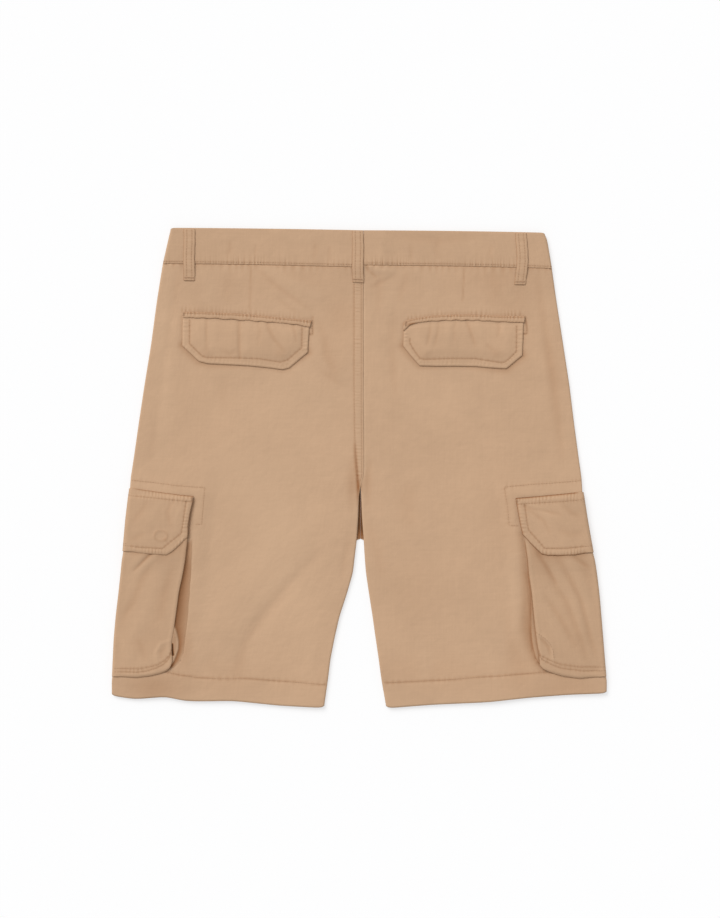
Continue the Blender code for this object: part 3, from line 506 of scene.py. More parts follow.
def hem_y(side, x):
    """Hem line of one leg."""
    return read(HEM_LEFT if side < 0 else HEM_RIGHT, "x", "y", x, HEM_BLUR)


# Heights of the layers

def pocket_share(side, x, y):
    """1 over the stack of a side pocket, 0 clear of it."""
    return ramp(abs(side_x(side, y) - x), POCKET_SPAN, POCKET_SLOPE)


def loop_share(x):
    """1 where the front lies on a belt loop."""
    off_centre = abs(abs(x) - LOOP_PLACE)
    return ramp(off_centre, LOOP_WIDTH / 2 + 1.5, LOOP_WIDTH / 2 + 13.5)


def front_panel_under(side, x, y):
    """Underside of a front panel above the surface it rests on."""
    lift = read(LEVELS, "y", "lift", y, 4.0) * pocket_share(side, x, y)
    below_seam = front_seam_y(side, x) - y
    lift = lift + STEP * loop_share(x) * ramp(below_seam, LOOP_END, LOOP_SLOPE)
    if side > 0:
        off_centre = x - CENTRE_FRONT
        lift = lift + LAP_LIFT * ramp(off_centre, LAP_SLOPE, LAP_END) * ramp(y, FLY_SHUT, FLY_FLAT)
    return lift


def button_rise(x, y):
    """Height that the button adds to the back above it."""
    return read(BUTTON_RISE, "y", "height", y, 5.0) * ramp(abs(x - CENTRE_FRONT), LAP_SLOPE, LAP_END)


def wave_height(waves, x, y):
    """Sum of gentle waves."""
    total = 0.0
    for wave in waves:
        across = x * math.cos(wave.turn) + y * math.sin(wave.turn)
        total = total + wave.height * np.sin(FULL_TURN * across / wave.length + wave.phase)
    return total


def back_panel_top(side, x, y):
    """Outer surface of a back panel, before its own seams and creases."""
    top = BODY_TOP + (WAIST_AIR - AIR) * ramp(y, WAIST_LEVEL, WAIST_SLOPE)
    over_pocket = pocket_share(side, x, y)
    top = top + read(LEVELS, "y", "rise", y, 4.0) * over_pocket
    if side < 0:
        from_seam = back_inner_x(side, y) - x
        top = top + FELL_HEIGHT * ramp(from_seam, FELL_WIDTH, FELL_END) * ramp(y, FELL_FOOT, FELL_FLAT)
    top = top + wave_height(BACK_WAVES, x, y) * ramp(y, 205, 228)
    return top + button_rise(x, y) + crease_height(FOLDS, x, y) * (1 - over_pocket)


def band_under(side, x, share):
    """Underside of the front of the waistband, a share of the way up it."""
    if side < 0:
        over_button = ramp(x, BUTTON_SIDE, BUTTON_SIDE - BUTTON_SLOPE)
        lap = 0.0
    else:
        over_button = ramp(x, LAP_SIDE, LAP_SIDE + BUTTON_SLOPE)
        lap = LAP_LIFT * over_button
    up_band = ramp(abs(share - 0.5), 0.25, 0.5)
    return BUTTON_LIFT * over_button * up_band + lap + STEP * loop_share(x)


def bag_top(side, x, y, share):
    """Outer surface of a pocket bag, a share of the way from the fold to its free edge."""
    puff = read(BAG_EDGE, "y", "puff", y, 6.0) * ramp(share, PUFF_SHARE * 1.3, 0.0)
    return back_panel_top(side, x, y) + STEP + puff


# Stations of a grid

def runs(*stops):
    """Stations from the first stop on: each later stop is (place, step)."""
    stations = [stops[0]]
    for place, step in stops[1:]:
        count = max(1, round(abs(place - stations[-1]) / step))
        stations.extend(np.linspace(stations[-1], place, count + 1)[1:])
    return np.array(stations)


TREES = {}


def lay_cloth(name, across, down, place, inside, wall, material, lining=None):
    """A piece of cloth: a grid laid on its outer surface, thickened inwards.

    place(across, down) gives X, Y, Z and the wear, painted shade and painted highlight for whole arrays
    of stations.  inside is a point that the surface faces away from.  lining is the material of the side
    that is turned inwards.
    """
    bm = bmesh.new()
    bmesh.ops.create_grid(bm, x_segments=len(across) - 1, y_segments=len(down) - 1, size=0.5)
    mesh = bpy.data.meshes.new(name)
    bm.to_mesh(mesh)
    bm.free()
    count = len(mesh.vertices)
    flat = np.empty(count * 3)
    mesh.vertices.foreach_get("co", flat)
    column = np.rint((flat[0::3] + 0.5) * (len(across) - 1)).astype(int)
    row = np.rint((flat[1::3] + 0.5) * (len(down) - 1)).astype(int)
    grid_across, grid_down = np.meshgrid(across, down)
    x, y, z, wear = (np.broadcast_to(part, grid_across.shape) for part in place(grid_across, grid_down))
    points = np.stack([x, y, z], axis=-1) * MILLIMETRE
    mesh.vertices.foreach_set("co", points[row, column].ravel())
    mesh.update()
    normals = np.empty(len(mesh.polygons) * 3)
    centres = np.empty(len(mesh.polygons) * 3)
    areas = np.empty(len(mesh.polygons))
    mesh.polygons.foreach_get("normal", normals)
    mesh.polygons.foreach_get("center", centres)
    mesh.polygons.foreach_get("area", areas)
    outward = centres.reshape(-1, 3) - np.array(inside) * MILLIMETRE
    if np.sum(np.sum(outward * normals.reshape(-1, 3), axis=1) * areas) < 0:
        mesh.flip_normals()
    add_weave_map(mesh, points, row, column)
    # This attribute darkens the cloth with painted shade in grooves, creases, slits and under edges, lightens
    # it with painted highlights on lips and ridges, and also carries the worn tone of seams.
    attribute = mesh.attributes.new("wear", "FLOAT", "POINT")
    attribute.data.foreach_set("value", wear[row, column].astype(np.float32).ravel())
    mesh.shade_smooth()
    mesh.materials.append(material)
    item = bpy.data.objects.new(name, mesh)
    bpy.context.scene.collection.objects.link(item)
    corners = [tuple(vertex.co) for vertex in mesh.vertices]
    TREES[name] = BVHTree.FromPolygons(corners, [tuple(polygon.vertices) for polygon in mesh.polygons])
    solid = item.modifiers.new("wall", "SOLIDIFY")
    solid.thickness = wall * MILLIMETRE
    solid.offset = -1
    solid.use_quality_normals = True
    # The lining side of a front panel takes the painted shade of fork_shade between the legs.
    if lining:
        mesh.materials.append(lining)
        solid.material_offset = 1
        shade = mesh.attributes.new("fork_shade", "FLOAT", "POINT")
        shade.data.foreach_set("value", fork_shade(x, y)[row, column].astype(np.float32).ravel())
    return item


def fork_shade(x, y):
    """Painted shade on the inside of the front, where it shows in the slit between the legs."""
    return -(FORK_DARK + 0.6 * ramp(y, -68.0, -80.0)) * ramp(abs(x), 12.0, 26.0) * ramp(y, 10.0, 30.0)


FORK_DARK = 0.9


def add_weave_map(mesh, points, row, column):
    """Map the weave by length along each row, and straight down the piece."""
    steps = np.linalg.norm(np.diff(points, axis=1), axis=2)
    along = np.concatenate([np.zeros((points.shape[0], 1)), np.cumsum(steps, axis=1)], axis=1)
    middle = points.shape[1] // 2
    along += points[:, middle:middle + 1, 0] - along[:, middle:middle + 1]
    lanes = np.stack([along, points[:, :, 1]], axis=-1)[row, column]
    corner = np.empty(len(mesh.loops), dtype=int)
    mesh.loops.foreach_get("vertex_index", corner)
    layer = mesh.uv_layers.new(name="weave")
    layer.data.foreach_set("uv", lanes[corner].astype(np.float32).ravel())


# Panels

PANEL_WIDTH = 230.0     # a middling width, for spacing the columns


def panel_stations(fine):
    """Columns of a panel: -1 to 0 round its inner edge, 0 to 1 across it, 1 to 2 round its side."""
    if fine:
        flat = runs(0.0, (14 / PANEL_WIDTH, 1.15 / PANEL_WIDTH), (30 / PANEL_WIDTH, 1.7 / PANEL_WIDTH),
                    (1.0, 2.0 / PANEL_WIDTH))
    else:
        flat = runs(0.0, (44 / PANEL_WIDTH, 2.6 / PANEL_WIDTH), (1.0, 4.2 / PANEL_WIDTH))
    return np.concatenate([np.linspace(-1, 0, 6)[:-1], flat, np.linspace(1, 2, 8)[1:]])


def panel_place(side, face, detail):
    """Where the stations of a back panel (face 1) or a front panel (face -1) lie."""
    inner_edge = back_inner_x if face > 0 else front_inner_x

    def edge_columns(column, level):
        inner = inner_edge(side, level)
        outer = side_x(side, level) - side * read(INSETS, "y", "panel", level, 3.0)
        inner_radius = edge_radius(side, inner + side * 2, level)
        outer_radius = edge_radius(side, outer - side * 2, level)
        turned = ramp(level, BACK_LEG, BACK_FORK) if face > 0 else ramp(level, FORK_END, FORK)
        inner_gap = GAP / 2 if face > 0 else GAP
        in_x, in_drop = turn_point(column + 1, inner_radius, turned, inner_gap)
        out_x, out_drop = turn_point(2 - column, outer_radius, 1.0, GAP / 2)
        flat_x = between(inner + side * inner_radius, outer - side * outer_radius, np.clip(column, 0, 1))
        x = np.where(column < 0, inner + side * in_x, np.where(column > 1, outer - side * out_x, flat_x))
        drop = np.where(column < 0, in_drop, np.where(column > 1, out_drop, 0.0))
        return x, drop, flat_x

    def place(column, level):
        x, drop, flat_x = edge_columns(column, level)
        if face > 0:
            top_shift = waist_edge_y(WAIST_SEAM, side, x) - SEAM_GAP / 2 - WAIST_LEVEL
            upper = ramp(level, WAIST_LEVEL, 170)
        else:
            top_shift = front_seam_y(side, x) - SEAM_GAP / 2 - WAIST_LEVEL
            upper = ramp(level, WAIST_LEVEL, 110)
        foot_shift = hem_y(side, x) - HEM_LEVEL + (0 if face > 0 else HEM_SHORTER)
        from_side = np.minimum(abs(side_x(side, level) - x), abs(x - inner_edge(side, level)))
        foot_shift = foot_shift + HEM_ROUND * np.exp(-from_side / HEM_ROUND)
        y = level + top_shift * upper + foot_shift * ramp(level, HEM_LEVEL, -190)
        x, drop, flat_x = edge_columns(column, y)
        start_x = np.where((column < 0) | (column > 1), flat_x, x)
        if face > 0:
            height = back_panel_top(side, start_x, y) - drop
        else:
            height = front_panel_under(side, start_x, y) + drop
        press, wear = detail(side, x, y)
        hold = 1 - np.clip(drop / 1.0, 0, 1)
        return x, y, height + face * press * hold, wear

    return place


HEM_ROUND = 2.5


def edge_radius(side, x, y):
    """Radius that the front and the back panel share where they meet at an edge."""
    return (back_panel_top(side, x, y) - front_panel_under(side, x, y)) / 2


def turn_point(share, radius, turned, meeting):
    """Distance in from an edge and drop, a share of the way from the edge to the flat."""
    start = np.arcsin(np.clip(meeting / radius, 0, 0.5))
    angle = between(start, math.pi / 2, np.clip(share, 0, 1))
    inward = between(np.clip(share, 0, 1) * radius, radius * (1 - np.cos(angle)), turned)
    return inward, turned * radius * (1 - np.sin(angle))


def back_detail(side, x, y):
    """Seams and creases of a back panel."""
    seams = PANEL_SEAMS[side] + (FELL_ROWS if side < 0 else [])
    press, wear = seam_press(seams, x, y)
    creases = crease_height(PANEL_CREASES[side], x, y)
    # Crease troughs get painted shade and crease ridges a painted highlight; the patches add fading, painted
    # shade and painted light.
    wear = wear + creases * 0.25 + patch_fade_and_shade(PATCHES[side], x, y)
    if side < 0:
        ladder, ladder_wear = seam_press([FELL_LADDER], x, y)
        from_seam = back_inner_x(side, y) - x
        on_fell = ramp(y, FELL_FOOT, FELL_FLAT)
        # Painted shade along the fell's folded edge, in the valley beside it and down the fork valley, and a
        # painted highlight along the edge of the slit between the legs.
        lip = np.exp(-((from_seam - FELL_END) / 1.0) ** 2) * on_fell
        valley = np.exp(-((from_seam - 1.2) / 1.2) ** 2) * on_fell
        fork = crease_height([FORK_VALLEY], x, y)
        slit_edge = np.exp(-(from_seam / 1.5) ** 2) * ramp(y, -38.0, -34.0) * ramp(y, -58.0, -62.0)
        press = press + ladder + 0.5 * fork - 0.3 * np.exp(-(from_seam / 0.7) ** 2) * on_fell
        wear = wear + ladder_wear - 0.12 * lip - 0.08 * valley + 0.8 * fork + 0.3 * slit_edge
    else:
        beside_seam = x - back_inner_x(side, y)
        # A painted highlight just right of the felled seam's edge, where it catches the light.
        wear = wear + 0.4 * np.exp(-((beside_seam - 1.0) / 0.8) ** 2) * ramp(y, 0.0, -12.0)
    # Painted shade on the panel just under the waistband's lower edge.
    below_band = waist_edge_y(WAIST_SEAM, side, x) - y
    wear = wear - 0.26 * np.exp(-np.maximum(below_band, 0) / 1.4)
    columns = FLAPS[side]
    foot = [(row.foot_x, row.foot_y) for row in columns]
    sides = [[(columns[end].top_x, columns[end].top_y), foot[end]] for end in (0, -1)]
    # Painted shadow on the panel round the foot and sides of each back flap, beside the right gusset and
    # beside the left side flap's free edge, where the panel also dips.
    halos = [Halo(foot, 5.2, 0.3, 0.30)] + [Halo(edge, 2.6, 0.2, 0.12) for edge in sides]
    if side > 0:
        sewn_edge = [(row.sewn_x, row.sewn_y) for row in GUSSETS[side]]
        halos += [Halo(sewn_edge, 5.4, 0.2, 0.28), Halo(sewn_edge[3:], 1.3, 0.0, 0.30)]
    else:
        free_edge = [(row.left + 0.6, row.y) for row in FLAP_EDGE[1:5]]
        halos += [Halo(free_edge, 2.0, 0.0, 0.45)]
    for halo in halos:
        beside = np.exp(-(near_path(halo.points, x, y)[0] / halo.width) ** 2)
        press = press - halo.depth * beside
        wear = wear - halo.wear * beside
    return press + creases - GUSSET_BED * on_gusset(side, x, y), wear


# The panel dips near the edge of a pocket, and a painted shadow darkens it there.
Halo = namedtuple("Halo", "points width depth wear")
GUSSET_BED = 0.7        # the panel makes room for a gusset, which lies level with it


def gusset_sewn_x(side, y):
    """Where a gusset is sewn to the panel."""
    rows = sorted(GUSSETS[side], key=lambda row: row.sewn_y)
    return np.interp(y, [row.sewn_y for row in rows], [row.sewn_x for row in rows])


def on_gusset(side, x, y):
    """1 where the panel lies under a gusset."""
    beyond = side * (x - gusset_sewn_x(side, y))
    return ramp(beyond, 2.6, 0.6) * ramp(y, -228.0, -233.0) * ramp(y, -82.0, -78.0)


FRONT_SEAMS = {
    -1: rows_of(Seam, [
        ([(-283, -230), (-200, -236), (-126, -239), (-36, -246)], 0.2, 0.1, 8.0, 4.0),
        ([(-31, 214), (-31, 96), (-27, 78), (-16, 62), (1, 50)], 0.15, 0.12, 6.0, 4.0),
        ([(-225, 226), (-100, 220), (20, 218)], 0.0, 0.15, 9.0, 8.0),
        ([(1.2, 44), (1.2, -80)], 0.2, 0.15, 6.0, 4.0),
    ]),
    1: rows_of(Seam, [
        ([(28, -244), (139, -238), (208, -231), (283, -228)], 0.2, 0.1, 8.0, 4.0),
        ([(4, 218), (110, 220), (220, 224)], 0.0, 0.15, 9.0, 8.0),
        ([(1.6, 44), (1.6, -80)], 0.0, 0.15, 6.0, 4.0),
    ]),
}
FRONT_CREASES = {
    -1: rows_of(Crease, [
        ([(-20, 40), (-52, 22), (-92, 16)], 0.5, 7), ([(-14, 4), (-46, -22), (-84, -34)], 0.5, 8),
        ([(-8, -60), (-44, -92), (-72, -132)], 0.6, 9), ([(-60, 206), (-66, 164), (-58, 120)], 0.3, 7),
        ([(-140, 196), (-150, 140), (-140, 90)], 0.3, 9),
        ([(-110, -110), (-122, -160), (-112, -214)], 0.4, 9),
    ]),
    1: rows_of(Crease, [
        ([(22, 38), (56, 18), (96, 14)], 0.5, 7), ([(18, 0), (44, -26), (86, -36)], 0.5, 8),
        ([(10, -62), (40, -96), (64, -138)], 0.6, 9), ([(58, 200), (66, 158), (60, 116)], 0.3, 7),
        ([(146, 190), (150, 134), (142, 86)], 0.3, 9), ([(116, -106), (124, -158), (118, -210)], 0.4, 9),
    ]),
}


def front_detail(side, x, y):
    """Seams and creases of a front panel, which only bend away from the surface it rests on."""
    press, wear = seam_press(FRONT_SEAMS[side], x, y)
    creases = -crease_height(FRONT_CREASES[side], x, y)
    return np.minimum(0.0, press + creases), wear


def make_panels(settings, face):
    """Two back panels, or the two front panels that the garment rests on."""
    word = "back" if face > 0 else "front"
    material = settings.material("twill_" + word)
    rows = runs(HEM_LEVEL, (-84, 2.3), (60, 2.0), (WAIST_LEVEL, 1.6))
    if face < 0:
        rows = runs(HEM_LEVEL, (-90, 3.6), (-76, 0.5), (WAIST_LEVEL, 3.6))
    lining = settings.material("twill_inside") if face < 0 else None
    for side in (-1, 1):
        name = f"{word}_cloth_{side_name(side)}"
        detail = back_detail if face > 0 else front_detail
        piece = lay_cloth(name, panel_stations(face > 0), rows, panel_place(side, face, detail),
                          (side * 140, 0, -2000 * face), settings.panel_wall, material, lining)
        finish_piece(piece, f"{word}_panel_{side_name(side)}")


# Waistband

BAND_SEAM_RAISE = 2.7   # the row of stitches above the waistband's lower edge
BAND_CREASES = rows_of(Crease, [
    ([(-150, 266), (-148, 252), (-152, 240)], -0.3, 3.0),
    ([(-118, 258), (-120, 246), (-117, 236)], -0.25, 2.4),
    ([(-86, 262), (-84, 250), (-87, 238)], 0.25, 3.5), ([(-52, 264), (-50, 250), (-53, 238)], -0.3, 3.2),
    ([(-33, 256), (-35, 246), (-32, 236)], -0.25, 2.2),
    ([(-176, 268), (-160, 262), (-140, 266)], 0.25, 4.0), ([(-104, 270), (-60, 262), (-30, 267)], 0.3, 6.0),
    ([(24, 262), (27, 250), (23, 238)], 0.3, 3.5), ([(58, 258), (60, 246), (57, 236)], -0.3, 2.6),
    ([(92, 266), (88, 252), (92, 238)], -0.25, 3.2), ([(128, 260), (131, 248), (127, 236)], 0.25, 3.2),
    ([(152, 258), (150, 246), (153, 235)], -0.25, 2.4), ([(30, 270), (84, 262), (140, 267)], -0.25, 6.0),
])


def band_place(side):
    """Where the stations of the waistband lie: -1 to 0 on the front, 0 to 1 round the side, 1 to 2 on
    the back, and 0 to 1 up the band."""
    front_end = CENTRE_FRONT + LAP if side < 0 else CENTRE_FRONT + GAP
    radius = BAND_TOP / 2

    def place(station, share):
        turn = np.clip(station, 0, 1)
        angle = between(-math.pi / 2, math.pi / 2, turn)
        level = between(WAIST_SEAM[side].y_side, WAIST_TOP[side].y_side, share)
        fold = side_x(side, level) - side * radius
        front_x = between(front_end, fold, np.clip(station + 1, 0, 1))
        back_x = between(fold, back_inner_x(side, BAND_LEVEL), np.clip(station - 1, 0, 1))
        turn_x = fold + side * radius * np.cos(angle)
        on_front = station < 0
        on_back = station > 1
        x = np.where(on_front, front_x, np.where(on_back, back_x, turn_x))
        low = waist_edge_y(WAIST_SEAM, side, x) + SEAM_GAP / 2
        high = waist_edge_y(WAIST_TOP, side, x)
        y = between(low, high, share) - front_drop(side, x) * (1 - turn)
        from_fold = abs(side_x(side, level) - x)
        y = y - BAND_ROUND * np.exp(-from_fold / BAND_ROUND) * ramp(share, 1.0, 0.8)
        width = high - low
        edge = np.minimum(share, 1 - share) * width
        roll = EDGE_ROLL * np.exp(-edge / 0.7) + LOWER_ROLL * np.exp(-share * width / 1.1)
        row = Seam([(side * 240, BAND_SEAM_RAISE), (0, BAND_SEAM_RAISE)], 0.14, 0.0, 6, 3)
        seam, wear = seam_press([row], x, share * width)
        gathers = 0.6 * uneven(x + 400, 6.1) + 0.85 * uneven(x + 477, 3.2)
        pucker = gathers * np.exp(-(share * width / 8.5) ** 2) * (0.7 + 0.4 * np.sin(x / 23.0 + 0.8))
        creases = crease_height(BAND_CREASES, x, y)
        soft = 0.12 * np.sin(x / 17.0 + 1.1 * np.sin(x / 41.0)) * np.sin(math.pi * share)
        press = seam + BAND_PUCKER * pucker + creases + soft
        # Painted shade at the band's rolled edges and under its lower edge, and painted shade and highlight
        # over the puckers and creases.
        lower_edge = np.exp(-share * width / 0.8)
        dark = wear + 0.36 * pucker + creases * 0.3 - 0.1 * np.exp(-edge / 0.8) - 0.18 * lower_edge
        front_height = band_under(side, x, share) + roll - np.minimum(0.0, press)
        back_height = BAND_TOP + button_rise(x, y) - roll + press
        turn_height = radius + radius * np.sin(angle)
        height = np.where(on_front, front_height, np.where(on_back, back_height, turn_height))
        return x, y, height, dark

    return place


EDGE_ROLL = 0.45
LOWER_ROLL = 0.3
BAND_PUCKER = 0.3
BAND_ROUND = 1.6


def make_waistband(settings):
    """Both halves of the waistband, each from centre back round the side to centre front."""
    material = settings.material("twill_band")
    stations = np.concatenate([runs(-1.0, (0.0, 2.6 / 218)), np.linspace(0, 1, 11)[1:],
                               runs(1.0, (2.0, 1.0 / 218))[1:]])
    rows = runs(0.0, (0.03, 0.012), (0.3, 0.026), (0.97, 0.042), (1.0, 0.012))
    sewing = []
    for side in (-1, 1):
        name = "band_cloth_" + side_name(side)
        place = band_place(side)
        piece = lay_cloth(name, stations, rows, place, (side * 150, 250, BAND_TOP / 2), settings.band_wall,
                          material)
        finish_piece(piece, "waistband_" + side_name(side))
        share = BAND_SEAM_RAISE / 39.6
        sewing.append(surface_path(name, place, [(-0.995, share), (1.99, share)]))
    stitches = join_stitches("waistband_stitches", sewing, settings)
    declare_sheets(["waistband_left", "waistband_right"], stitches)


# Belt loops

LOOP_SEWN = 2.9         # rows of stitches either side of a loop's middle


def loop_place(loop):
    """Where the stations of a back belt loop lie: -1 to 1 across it, 0 to 1 down it."""

    def place(across, share):
        swing = 4 * share * (1 - share)
        chord = between(loop.top_x, loop.foot_x, share)
        middle = chord + swing * (loop.middle_x - (loop.top_x + loop.foot_x) / 2)
        middle = middle + 0.25 * np.sin(share * 9 + loop.top_x)
        x = middle + across * (LOOP_WIDTH / 2 + 0.12 * np.sin(share * 31 + loop.top_x))
        y = between(loop.top_y, loop.foot_y, share) + 0.3 * across * np.sin(loop.top_x)
        from_seam = waist_edge_y(WAIST_SEAM, loop.side, x) - y
        on_band = BAND_TOP + button_rise(x, y)
        under = between(back_panel_top(loop.side, x, y), on_band, ramp(from_seam, 1.0, 15.0))
        rows = np.exp(-((abs(across) * LOOP_WIDTH / 2 - LOOP_SEWN) / 0.9) ** 2)
        rim = np.exp(-(1 - abs(across)) * LOOP_WIDTH / 2 / 0.5)
        ends = np.exp(-(1 - share) * 59 / 0.8) + 0.5 * np.exp(-share * 59 / 0.8)
        lit = np.exp(-(across + 1) * LOOP_WIDTH / 2 / 0.6)
        pucker = 0.07 * np.sin(share * 74 + 2 * np.sin(share * 19)) * (1 - abs(across))
        height = under + LOOP_LIFT + LOOP_BOW * np.sin(math.pi * share) + 0.25 * (1 - across ** 2)
        height = height - 0.1 * rows - 0.5 * rim - 0.2 * ends + pucker
        # The last value is painted shade: along the rows of stitches, at the rims and the ends, deeper at the
        # lit left edge, with painted shade and highlight over the puckers.
        return x, y, height, -0.16 * rows - 0.25 * rim - 0.3 * lit - 0.2 * ends + pucker

    return place


def front_loop_place(side):
    """Where the stations of a front belt loop lie, under the front of the waistband."""

    def place(across, share):
        x = side * LOOP_PLACE + across * LOOP_WIDTH / 2
        head = waist_edge_y(WAIST_TOP, side, x) - front_drop(side, x) - 0.5
        foot = front_seam_y(side, x) - FRONT_LOOP_DROP
        rows = np.exp(-((abs(across) * LOOP_WIDTH / 2 - LOOP_SEWN) / 0.9) ** 2)
        # Painted shade along the rows of stitches.
        return x, between(head, foot, share), 0.15 * rows, -0.2 * rows

    return place


def make_belt_loops(settings):
    """Three belt loops over the back of the waistband and two over its front."""
    material = settings.material("twill_loop")
    across = runs(-1.0, (-0.9, 0.05), (0.9, 0.12), (1.0, 0.05))
    down = runs(0.0, (0.03, 0.01), (0.97, 0.016), (1.0, 0.01))
    sewing = []
    plans = [(loop.name, loop_place(loop), (loop.top_x, 245, -2000)) for loop in BACK_LOOPS]
    for side in (-1, 1):
        plans.append(("belt_loop_front_" + side_name(side), front_loop_place(side),
                      (side * LOOP_PLACE, 245, 2000)))
    for node, place, inside in plans:
        name = node.replace("belt_loop", "loop_cloth")
        piece = lay_cloth(name, across, down, place, inside, settings.loop_wall, material)
        finish_piece(piece, node)
        for edge in (-1, 1):
            row = edge * LOOP_SEWN / (LOOP_WIDTH / 2)
            sewing.append(surface_path(name, place, [(row, 0.01), (row, 0.99)]))
        sewing.append(surface_path(name, place, [(-0.9, 0.945), (0.9, 0.945)], tack=True))
        sewing.append(surface_path(name, place, [(-0.9, 0.06), (0.9, 0.06)]))
    declare_sheets([node for node, _, _ in plans], join_stitches("loop_stitches", sewing, settings))


# Back pockets

FLAP_STITCHES = {
    -1: Seam([(-194.7, 171.5), (-194.9, 143), (-180.5, 128.8), (-175, 127), (-137.2, 126.6),
              (-114.2, 125.5), (-91.2, 121.9), (-82.5, 124.2), (-66.2, 138.3), (-65.7, 163.6)],
             0.3, 0.10, 5.6, 2.6),
    1: Seam([(58.2, 150.5), (57.9, 144), (62.4, 136.0), (69.6, 126.2), (74.4, 125.0), (104.3, 126.0),
             (133.1, 125.8), (146, 123.8), (163.0, 121.2), (167.0, 122.0), (171.6, 125.4), (180.2, 133.7),
             (180.8, 165.5)], 0.3, 0.10, 5.6, 2.6),
}
FLAP_CREASES = {
    -1: rows_of(Crease, [
        ([(-175, 178), (-175.5, 158), (-175, 134)], -0.45, 1.8),
        ([(-168, 176), (-166, 150), (-168, 130)], 0.3, 4.0),
        ([(-137, 180), (-138, 158), (-137, 112)], -0.6, 2.2),
        ([(-129, 176), (-128, 152), (-131, 122)], 0.4, 5.0),
        ([(-107, 176), (-104, 160), (-97, 147), (-84, 132)], -0.5, 2.4),
        ([(-118, 172), (-114, 156), (-116, 140)], -0.25, 2.0),
        ([(-78, 170), (-74, 156), (-72, 144)], -0.4, 1.7),
        ([(-94, 172), (-88, 158), (-80, 146)], 0.35, 4.0),
        ([(-186, 170), (-184, 156), (-178, 146)], 0.25, 3.5),
        ([(-160, 136), (-148, 131), (-140, 136)], -0.25, 3.0),
    ]),
    1: rows_of(Crease, [
        ([(122, 174), (127, 158), (134, 138)], -0.55, 2.2),
        ([(132, 172), (139, 156), (146, 140)], 0.4, 4.5), ([(82, 168), (81, 156), (77, 138)], -0.45, 2.0),
        ([(92, 170), (90, 156), (86, 138)], -0.4, 2.0), ([(104, 172), (102, 152), (98, 134)], 0.4, 5.0),
        ([(112, 172), (108, 158), (110, 144)], -0.3, 2.2),
        ([(158, 172), (161, 160), (158, 148)], -0.35, 2.4),
        ([(168, 172), (166, 160), (170, 146)], 0.3, 3.5), ([(66, 158), (70, 146), (80, 132)], 0.35, 4.0),
        ([(140, 150), (150, 138), (158, 132)], -0.3, 2.6),
    ]),
}


# Where hidden buttons press softly through the flaps.
FLAP_BUTTONS = {-1: [(-175.3, 133.0), (-91.5, 131.7)], 1: [(76.2, 129.6), (157.5, 130.9)]}


def ruled(columns, name, share):
    """Read one column of a pocket's table at shares of its width."""
    first, last = columns[0].top_x, columns[-1].top_x
    shares = [(row.top_x - first) / (last - first) for row in columns]
    values = [getattr(row, name) for row in columns]
    blur = 1.6 / (last - first)
    return sum(weight * np.interp(share + step * blur, shares, values) for step, weight in BLUR_STEPS)


def pocket_point(columns, across, down):
    """Point of a welt or flap, a share across it and down it."""
    x = between(ruled(columns, "top_x", across), ruled(columns, "foot_x", across), down)
    y = between(ruled(columns, "top_y", across), ruled(columns, "foot_y", across), down)
    return x, y


def welt_place(side):
    """Where the stations of a back pocket's strip lie."""
    columns = WELTS[side]

    def place(across, down):
        x, y = pocket_point(columns, across, down)
        gathers = uneven(x + 300, 3.9)
        foot_wave = uneven(x + 420, 15.0)
        y = y + 0.3 * gathers * (1 - down) + (0.45 * foot_wave + 0.25 * gathers) * down
        height = back_panel_top(side, x, y) + GAP + WELT + 0.3 * np.sin(math.pi * down) + 0.25 * down * down
        height = height + 0.26 * gathers * (1 - 0.65 * down) + 0.15 * foot_wave * (1 - down)
        head = np.exp(-down * 7 / 0.7)
        foot = np.exp(-(1 - down) * 7 / 0.7)
        row = np.exp(-((down - 0.27) * 7 / 0.9) ** 2)
        corner = patch_fade_and_shade(WELT_CORNERS[side], x, y)
        # Painted shade along the strip's sewn head, its row of stitches, its corners and its foot, where it
        # overhangs the flap, and painted shade and highlight over the gathers.
        wear = 0.3 * gathers * (1 - down) - 0.58 * head - 0.38 * row + corner
        wear = wear - (0.50 + 0.12 * foot_wave) * foot
        return x, y, height - 0.55 * head - 0.1 * foot - 0.16 * row, wear

    return place


# Painted shade in the corners where a strip meets its flap.
WELT_CORNERS = {
    -1: [Patch(-202, 169, 3, 3, -0.3)],
    1: [Patch(62, 165.0, 6, 2.0, -0.9), Patch(51.3, 156.5, 1.6, 2, -0.8)],
}


